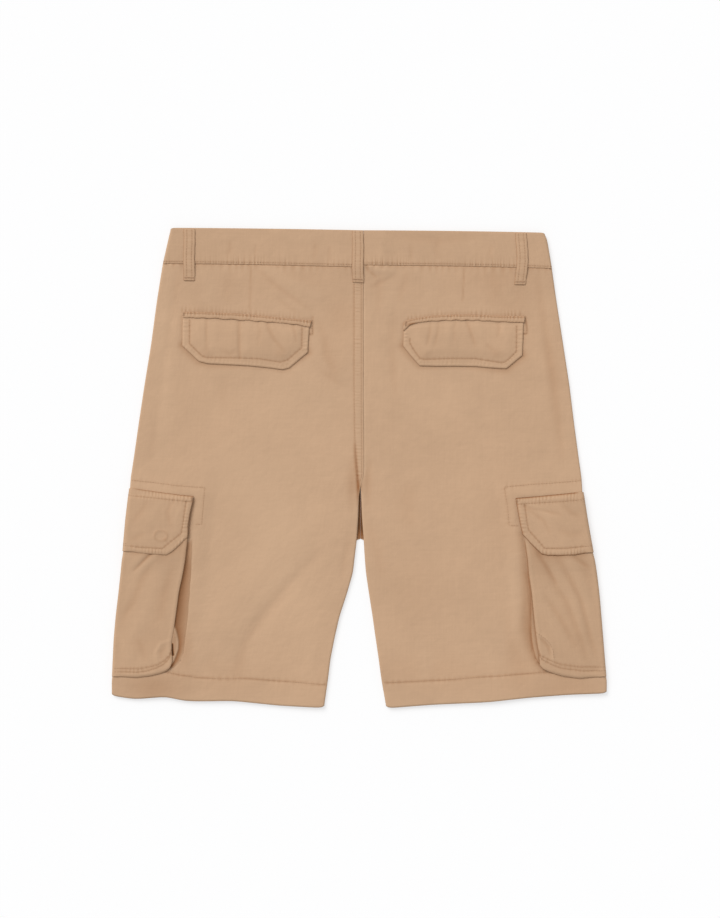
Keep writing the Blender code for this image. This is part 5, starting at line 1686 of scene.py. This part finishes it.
def cloth_group():
    """Group: colour and crumple of washed cloth, with its streaks and faded patches, made paler or darker by
    an input that carries worn seams and ridges, painted shade and painted highlights.
    """
    tree, start, end = new_group(
        "washed cloth",
        [("Vector", "Vector", None), ("Colour", "Color", None), ("Pale", "Color", None),
         ("Dark", "Color", None), ("Wear", "Float", 0.0), ("Mottle", "Float", 0.05),
         ("Streak", "Float", 0.03)],
        [("Colour", "Color"), ("Crumple", "Float")])
    vector = start.outputs["Vector"]

    def noise(scale, detail, stretch=None):
        place = vector
        if stretch:
            place = add_node(tree, "Mapping", {"Vector": vector, "Scale": stretch}).outputs[0]
        node = add_node(tree, "TexNoise", {
            "Vector": place, "Scale": scale, "Detail": detail, "Roughness": 0.55})
        return maths(tree, "SUBTRACT", node.outputs["Fac"], 0.5)

    patches = maths(tree, "ADD", noise(11.0, 3.0), maths(tree, "MULTIPLY", noise(55.0, 2.0), 0.5))
    streaks = maths(tree, "ADD", noise(1.0, 2.0, (560.0, 26.0, 1.0)), noise(1.0, 2.0, (22.0, 620.0, 1.0)))
    tone = maths(tree, "ADD", maths(tree, "MULTIPLY", patches, start.outputs["Mottle"]),
                 maths(tree, "MULTIPLY", streaks, start.outputs["Streak"]))
    tone = maths(tree, "ADD", maths(tree, "MULTIPLY", tone, 2.0), 1.0)
    toned = add_node(tree, "VectorMath", {0: start.outputs["Colour"], "Scale": tone}, operation="SCALE")
    wear = start.outputs["Wear"]
    lighter = add_node(tree, "Clamp", {"Value": wear})
    darker = add_node(tree, "Clamp", {"Value": maths(tree, "MULTIPLY", wear, -1.0)})
    paled = blend(tree, lighter.outputs[0], toned.outputs[0], start.outputs["Pale"])
    deep = blend(tree, darker.outputs[0], paled, start.outputs["Dark"])
    # Beyond -1 the colour is dimmed towards black: painted deep shade, as in the slits.
    excess = maths(tree, "SUBTRACT", maths(tree, "MULTIPLY", wear, -1.0), 1.0)
    beyond = add_node(tree, "Clamp", {"Value": excess})
    left = maths(tree, "SUBTRACT", 1.0, maths(tree, "MULTIPLY", beyond.outputs[0], 0.88))
    dim = add_node(tree, "VectorMath", {0: deep, "Scale": left}, operation="SCALE")
    tree.links.new(dim.outputs[0], end.inputs["Colour"])
    crumple = maths(tree, "ADD", noise(150.0, 3.0), maths(tree, "MULTIPLY", noise(46.0, 2.0), 2.2))
    tree.links.new(crumple, end.inputs["Crumple"])
    return tree


def cloth_material(name, settings, tone=1.0, warmth=0.0, shaded_by="wear"):
    """Washed twill: a slightly different shade for each group of pieces, darker or paler by an attribute
    that carries wear, painted shade and painted highlights.
    """
    material = bpy.data.materials.new(name)
    material.use_nodes = True
    tree = material.node_tree
    shader = tree.nodes["Principled BSDF"]
    lanes = add_node(tree, "UVMap", uv_map="weave").outputs["UV"]
    wear = add_node(tree, "Attribute", attribute_name=shaded_by).outputs["Fac"]
    shade = [tone * (1 + warmth), tone, tone * (1 - warmth)]
    colours = {
        "Colour": settings.cloth_colour, "Pale": settings.pale_colour, "Dark": settings.dark_colour,
    }
    cloth = tree.nodes.new("ShaderNodeGroup")
    cloth.node_tree = bpy.data.node_groups.get("washed cloth") or cloth_group()
    tree.links.new(lanes, cloth.inputs["Vector"])
    tree.links.new(wear, cloth.inputs["Wear"])
    cloth.inputs["Mottle"].default_value = settings.mottle
    cloth.inputs["Streak"].default_value = settings.streak
    for label, colour in colours.items():
        cloth.inputs[label].default_value = (*[part * share for part, share in zip(colour, shade)], 1)
    weave = tree.nodes.new("ShaderNodeGroup")
    weave.node_tree = bpy.data.node_groups.get("twill weave") or twill_group()
    tree.links.new(lanes, weave.inputs["Vector"])
    weave.inputs["Pitch"].default_value = settings.weave_pitch * MILLIMETRE
    ribs = maths(tree, "MULTIPLY", weave.outputs["Height"], settings.weave_depth * MILLIMETRE)
    crumple = maths(tree, "MULTIPLY", cloth.outputs["Crumple"], settings.crumple * MILLIMETRE)
    relief = maths(tree, "ADD", ribs, crumple)
    bump = add_node(tree, "Bump", {"Strength": 1.0, "Distance": 1.0, "Height": relief})
    tree.links.new(cloth.outputs["Colour"], shader.inputs["Base Color"])
    tree.links.new(bump.outputs["Normal"], shader.inputs["Normal"])
    shader.inputs["Roughness"].default_value = 0.88
    shader.inputs["Specular IOR Level"].default_value = 0.1
    shader.inputs["Sheen Weight"].default_value = 0.03
    shader.inputs["Sheen Roughness"].default_value = 0.6
    return material


def thread_material(settings):
    """Spun thread a shade deeper than the cloth."""
    material = bpy.data.materials.new("thread")
    material.use_nodes = True
    tree = material.node_tree
    shader = tree.nodes["Principled BSDF"]
    place = add_node(tree, "TexCoord").outputs["Object"]
    noise = add_node(tree, "TexNoise", {"Vector": place, "Scale": 60.0, "Detail": 2.0})
    pale = [part * 1.25 for part in settings.thread_colour]
    mix = blend(tree, noise.outputs["Fac"], (*settings.thread_colour, 1), (*pale, 1))
    tree.links.new(mix, shader.inputs["Base Color"])
    fine = add_node(tree, "TexNoise", {"Vector": place, "Scale": 4000.0, "Detail": 1.0})
    bump = add_node(tree, "Bump", {"Strength": 0.5, "Distance": 0.00015, "Height": fine.outputs["Fac"]})
    tree.links.new(bump.outputs["Normal"], shader.inputs["Normal"])
    shader.inputs["Roughness"].default_value = 0.7
    return material


def horn_material(settings):
    """Brown horn-like resin with soft streaks."""
    material = bpy.data.materials.new("horn")
    material.use_nodes = True
    tree = material.node_tree
    shader = tree.nodes["Principled BSDF"]
    place = add_node(tree, "TexCoord").outputs["Object"]
    stretched = add_node(tree, "Mapping", {"Vector": place, "Scale": (1.0, 3.0, 1.0)}).outputs[0]
    noise = add_node(tree, "TexNoise", {
        "Vector": stretched, "Scale": 260.0, "Detail": 4.0, "Distortion": 1.2})
    light = [part * 1.7 for part in settings.button_colour]
    mix = blend(tree, noise.outputs["Fac"], (*settings.button_colour, 1), (*light, 1))
    tree.links.new(mix, shader.inputs["Base Color"])
    rough = maths(tree, "ADD", maths(tree, "MULTIPLY", noise.outputs["Fac"], 0.2), 0.28)
    tree.links.new(rough, shader.inputs["Roughness"])
    return material


def floor_material(settings):
    """Plain pale paper on a softly lit table, so that the shadows stay faint."""
    material = bpy.data.materials.new("paper")
    material.use_nodes = True
    shader = material.node_tree.nodes["Principled BSDF"]
    matt = [part * (1 - settings.floor_glow) for part in settings.floor_colour]
    shader.inputs["Base Color"].default_value = (*matt, 1)
    shader.inputs["Emission Color"].default_value = (*settings.floor_colour, 1)
    shader.inputs["Emission Strength"].default_value = settings.floor_glow
    shader.inputs["Roughness"].default_value = 0.95
    shader.inputs["Specular IOR Level"].default_value = 0.1
    return material


# Each group of pieces has its own shade: how light it is, and how warm.
Shade = namedtuple("Shade", "tone warmth worn_by", defaults=["wear"])
SHADES = {
    "twill_back": Shade(1.0, 0.0),
    "twill_front": Shade(0.99, 0.0),
    "twill_band": Shade(0.965, 0.004),
    "twill_loop": Shade(0.98, 0.006),
    "twill_back_pocket": Shade(0.97, 0.008),
    "twill_side_pocket": Shade(0.935, 0.01),
    "twill_gusset": Shade(0.97, 0.01),
    "twill_inside": Shade(0.92, 0.0, "fork_shade"),
}
MATERIALS = {}


class Making:
    """The settings of the sidebar, and the materials made from them."""

    def __init__(self, context):
        self.groups = (context.scene.shorts_cloth, context.scene.shorts_sewing, context.scene.shorts_stage)

    def __getattr__(self, name):
        for group in self.groups:
            if hasattr(group, name):
                return getattr(group, name)
        raise AttributeError(name)

    def material(self, name):
        """The material of this name, made once."""
        if name not in MATERIALS:
            makers = {"thread": thread_material, "horn": horn_material, "paper": floor_material}
            if name in makers:
                MATERIALS[name] = makers[name](self)
            else:
                MATERIALS[name] = cloth_material(name, self, *SHADES[name])
        return MATERIALS[name]


# What each piece was cut to, in metres, and what it lies on.
Cut = namedtuple("Cut", "width length area rests_on")
CUTS = {
    "back_panel_left": Cut(0.290, 0.515, 0.129, "front_cloth_left"),
    "back_panel_right": Cut(0.285, 0.515, 0.124, "front_cloth_right"),
    "front_panel_left": Cut(0.290, 0.505, 0.129, "floor"),
    "front_panel_right": Cut(0.285, 0.505, 0.124, "floor"),
    "waistband_left": Cut(0.470, 0.042, 0.0180, "front_cloth_left"),
    "waistband_right": Cut(0.440, 0.042, 0.0170, "front_cloth_right"),
    "belt_loop_back_left": Cut(0.013, 0.060, 0.00077, "band_cloth_left"),
    "belt_loop_back_centre": Cut(0.013, 0.060, 0.00077, "band_cloth_left"),
    "belt_loop_back_right": Cut(0.013, 0.060, 0.00077, "band_cloth_right"),
    "belt_loop_front_left": Cut(0.013, 0.060, 0.00077, "floor"),
    "belt_loop_front_right": Cut(0.013, 0.060, 0.00077, "floor"),
    "back_pocket_welt_left": Cut(0.149, 0.010, 0.0011, "back_cloth_left"),
    "back_pocket_welt_right": Cut(0.142, 0.010, 0.0011, "back_cloth_right"),
    "back_pocket_flap_left": Cut(0.147, 0.058, 0.0072, "back_cloth_left"),
    "back_pocket_flap_right": Cut(0.139, 0.055, 0.0066, "back_cloth_right"),
    "cargo_pocket_bag_left": Cut(0.160, 0.205, 0.0290, "back_cloth_left"),
    "cargo_pocket_bag_right": Cut(0.170, 0.205, 0.0320, "back_cloth_right"),
    "cargo_pocket_gusset_left": Cut(0.018, 0.190, 0.0029, "back_cloth_left"),
    "cargo_pocket_gusset_right": Cut(0.012, 0.190, 0.0020, "back_cloth_right"),
    "cargo_pocket_flap_left": Cut(0.165, 0.075, 0.0110, "bag_cloth_left"),
    "cargo_pocket_flap_right": Cut(0.175, 0.072, 0.0116, "bag_cloth_right"),
}


def finish_piece(piece, node):
    """A piece of cloth stands for its solid, which is hidden, and rides with the root body."""
    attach(piece, "root")
    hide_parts(node)


def declare_sheets(nodes, stitches=None):
    """Look up the cut of these pieces of cloth; the stitches are picked out for the first of them, and
    nothing further is done with either.
    """
    for node in nodes:
        cut = CUTS[node]
        sewn = [stitches] if stitches and node == nodes[0] else []
        cut.width
        cut.length
        cut.rests_on
        cut.area


# Stage

def make_stage(settings):
    """A pale floor, soft light from the upper left and a camera that looks straight down."""
    bm = bmesh.new()
    bmesh.ops.create_grid(bm, x_segments=1, y_segments=1, size=4.0)
    bmesh.ops.translate(bm, verts=bm.verts[:], vec=(0, 0, -0.0003))
    mesh = bpy.data.meshes.new("floor")
    bm.to_mesh(mesh)
    bm.free()
    mesh.materials.append(settings.material("paper"))
    floor = bpy.data.objects.new("floor", mesh)
    bpy.context.scene.collection.objects.link(floor)

    world = bpy.data.worlds.new("soft white room")
    world.use_nodes = True
    world.node_tree.nodes["Background"].inputs["Color"].default_value = (1.0, 0.995, 0.99, 1)
    world.node_tree.nodes["Background"].inputs["Strength"].default_value = settings.dome_strength
    bpy.context.scene.world = world

    sun = bpy.data.lights.new("window", "SUN")
    sun.energy = settings.sun_strength
    sun.angle = settings.sun_softness
    sun.color = (1.0, 0.995, 0.985)
    lamp = bpy.data.objects.new("window", sun)
    towards = Vector((-math.cos(settings.sun_height) * math.cos(settings.sun_turn),
                      math.cos(settings.sun_height) * math.sin(settings.sun_turn),
                      math.sin(settings.sun_height)))
    lamp.rotation_euler = towards.to_track_quat("Z", "Y").to_euler()
    bpy.context.scene.collection.objects.link(lamp)

    camera = bpy.data.objects.new("camera", bpy.data.cameras.new("camera"))
    camera.data.lens = settings.lens
    camera.data.sensor_width = 36.0
    camera.location = (settings.camera_x * MILLIMETRE, settings.camera_y * MILLIMETRE, settings.camera_height)
    camera.data.clip_end = 20.0
    bpy.context.scene.collection.objects.link(camera)
    bpy.context.scene.camera = camera
    bpy.context.scene.view_settings.view_transform = "Standard"


# Sidebar

def colour_value(name, description, default):
    """A colour of the sidebar."""
    return FloatVectorProperty(name=name, description=description, default=default, size=3, subtype="COLOR",
                               min=0.0, max=1.0)


def size_value(name, description, default):
    """A size of the sidebar, in millimetres."""
    return FloatProperty(name=name, description=description, default=default, min=0.0, precision=3)


class ShortsCloth(bpy.types.PropertyGroup):
    """The twill: its colours, walls and weave."""
    cloth_colour: colour_value("Cloth", "Colour of the twill", (0.534, 0.350, 0.2215))
    # The pale colour is for worn ridges and painted highlights, the dark one for seam grooves and painted
    # shade.
    pale_colour: colour_value("Worn ridges and painted highlights", "Colour of worn ridges and of painted highlights", (0.62, 0.42, 0.27))
    dark_colour: colour_value("Seam grooves and painted shade", "Colour of seam grooves and of painted shade", (0.295, 0.128, 0.051))
    panel_wall: size_value("Panel wall", "Wall of the panels (mm)", 1.0)
    band_wall: size_value("Waistband wall", "Wall of the waistband (mm)", 1.3)
    pocket_wall: size_value("Pocket wall", "Wall of the pockets and flaps (mm)", 0.8)
    loop_wall: size_value("Loop wall", "Wall of the belt loops (mm)", 0.8)
    weave_pitch: size_value("Weave pitch", "From one rib of the twill to the next (mm)", 0.7)
    weave_depth: size_value("Weave depth", "Height of the ribs (mm)", 0.04)
    crumple: size_value("Crumple", "Height of the fine crumple (mm)", 0.35)
    mottle: size_value("Mottle", "How much the shade drifts", 0.085)
    streak: size_value("Streak", "How much the threads streak", 0.035)
    button_colour: colour_value("Button", "Colour of the button", (0.20, 0.11, 0.06))


class ShortsSewing(bpy.types.PropertyGroup):
    """The stitches."""
    thread_colour: colour_value("Thread", "Colour of the thread", (0.36, 0.215, 0.125))
    stitch_pitch: size_value("Stitch", "From one stitch to the next (mm)", 3.0)
    thread_width: size_value("Thread width", "Width of a stitch (mm)", 0.6)


class ShortsStage(bpy.types.PropertyGroup):
    """The floor, the light and the camera."""
    floor_colour: colour_value("Floor", "Colour of the floor", (0.97, 0.972, 0.978))
    floor_glow: FloatProperty(name="Floor glow", default=0.6, min=0.0, max=1.0,
                              description="Share of the floor's light that comes through it")
    dome_strength: FloatProperty(name="Room light", description="Light from all round", default=0.58, min=0.0)
    sun_strength: FloatProperty(name="Window light", description="Light from the window",
                                default=2.2, min=0.0)
    sun_softness: FloatProperty(name="Window size", description="How wide the window looks",
                                default=math.radians(38), subtype="ANGLE")
    sun_height: FloatProperty(name="Window height", description="Angle of the window above the floor",
                              default=math.radians(42), subtype="ANGLE")
    sun_turn: FloatProperty(name="Window turn", default=math.radians(52), subtype="ANGLE",
                            description="Angle of the window from the left towards the top")
    lens: FloatProperty(name="Lens", description="Focal length", default=81.8, min=1.0,
                        subtype="DISTANCE_CAMERA")
    camera_height: FloatProperty(name="Camera height", description="Height above the floor", default=2.4,
                                 subtype="DISTANCE", unit="LENGTH")
    camera_x: FloatProperty(name="Camera X", description="Place of the camera (mm)", default=0.8)
    camera_y: FloatProperty(name="Camera Y", description="Place of the camera (mm)", default=10.6)


class MakePiece:
    """What the operators share: each makes its pieces from the sidebar's settings."""
    bl_options = {"REGISTER", "UNDO"}

    def execute(self, context):
        """Make the pieces."""
        self.make(Making(context))
        return {"FINISHED"}


class SHORTS_OT_front_panels(MakePiece, bpy.types.Operator):
    """Lay the two front panels, which the garment rests on"""
    bl_idname = "shorts.front_panels"
    bl_label = "Front panels"

    def make(self, settings):
        make_panels(settings, -1)
        declare_sheets(["front_panel_left", "front_panel_right"])


class SHORTS_OT_back_panels(MakePiece, bpy.types.Operator):
    """Lay the two back panels and sew the rows that the panels carry"""
    bl_idname = "shorts.back_panels"
    bl_label = "Back panels"

    def make(self, settings):
        make_panels(settings, 1)
        declare_sheets(["back_panel_left", "back_panel_right"], make_panel_stitches(settings))


class SHORTS_OT_waistband(MakePiece, bpy.types.Operator):
    """Fold and sew both halves of the waistband"""
    bl_idname = "shorts.waistband"
    bl_label = "Waistband"

    def make(self, settings):
        make_waistband(settings)


class SHORTS_OT_belt_loops(MakePiece, bpy.types.Operator):
    """Sew on the five belt loops"""
    bl_idname = "shorts.belt_loops"
    bl_label = "Belt loops"

    def make(self, settings):
        make_belt_loops(settings)


class SHORTS_OT_back_pockets(MakePiece, bpy.types.Operator):
    """Sew the strips and flaps of the back pockets"""
    bl_idname = "shorts.back_pockets"
    bl_label = "Back pockets"

    def make(self, settings):
        make_back_pockets(settings)


class SHORTS_OT_side_pockets(MakePiece, bpy.types.Operator):
    """Sew the bags, gussets and flaps of the side pockets"""
    bl_idname = "shorts.side_pockets"
    bl_label = "Side pockets"

    def make(self, settings):
        make_side_pockets(settings)


class SHORTS_OT_waist_button(MakePiece, bpy.types.Operator):
    """Turn the waist button"""
    bl_idname = "shorts.waist_button"
    bl_label = "Waist button"

    def make(self, settings):
        make_button(settings)


class SHORTS_OT_stage(MakePiece, bpy.types.Operator):
    """Set the floor, the light and the camera"""
    bl_idname = "shorts.stage"
    bl_label = "Stage"

    def make(self, settings):
        make_stage(settings)


OPERATORS = [SHORTS_OT_stage, SHORTS_OT_front_panels, SHORTS_OT_back_panels, SHORTS_OT_waistband,
             SHORTS_OT_belt_loops, SHORTS_OT_back_pockets, SHORTS_OT_side_pockets, SHORTS_OT_waist_button]


class SHORTS_PT_sidebar(bpy.types.Panel):
    """Sizes, colours and the pieces in order"""
    bl_label = "Cargo shorts"
    bl_idname = "SHORTS_PT_sidebar"
    bl_space_type = "VIEW_3D"
    bl_region_type = "UI"
    bl_category = "Shorts"

    def draw(self, context):
        """Show every setting, then a button for each group of pieces."""
        scene = context.scene
        for group in (scene.shorts_cloth, scene.shorts_sewing, scene.shorts_stage):
            box = self.layout.box()
            for name in group.__annotations__:
                box.prop(group, name)
        for operator in OPERATORS:
            self.layout.operator(operator.bl_idname)


CLASSES = [ShortsCloth, ShortsSewing, ShortsStage, *OPERATORS, SHORTS_PT_sidebar]


def register():
    """Register the classes and their settings."""
    for item in CLASSES:
        bpy.utils.register_class(item)
    bpy.types.Scene.shorts_cloth = PointerProperty(type=ShortsCloth)
    bpy.types.Scene.shorts_sewing = PointerProperty(type=ShortsSewing)
    bpy.types.Scene.shorts_stage = PointerProperty(type=ShortsStage)


def unregister():
    """Undo register."""
    del bpy.types.Scene.shorts_stage
    del bpy.types.Scene.shorts_sewing
    del bpy.types.Scene.shorts_cloth
    for item in reversed(CLASSES):
        bpy.utils.unregister_class(item)


def main():
    """Register the sidebar and make the shorts and their stage."""
    register()
    for operator in OPERATORS:
        group, name = operator.bl_idname.split(".")
        if getattr(getattr(bpy.ops, group), name)() != {"FINISHED"}:
            raise RuntimeError(operator.bl_label + " wasn't made")


if __name__ == "__main__":
    main()
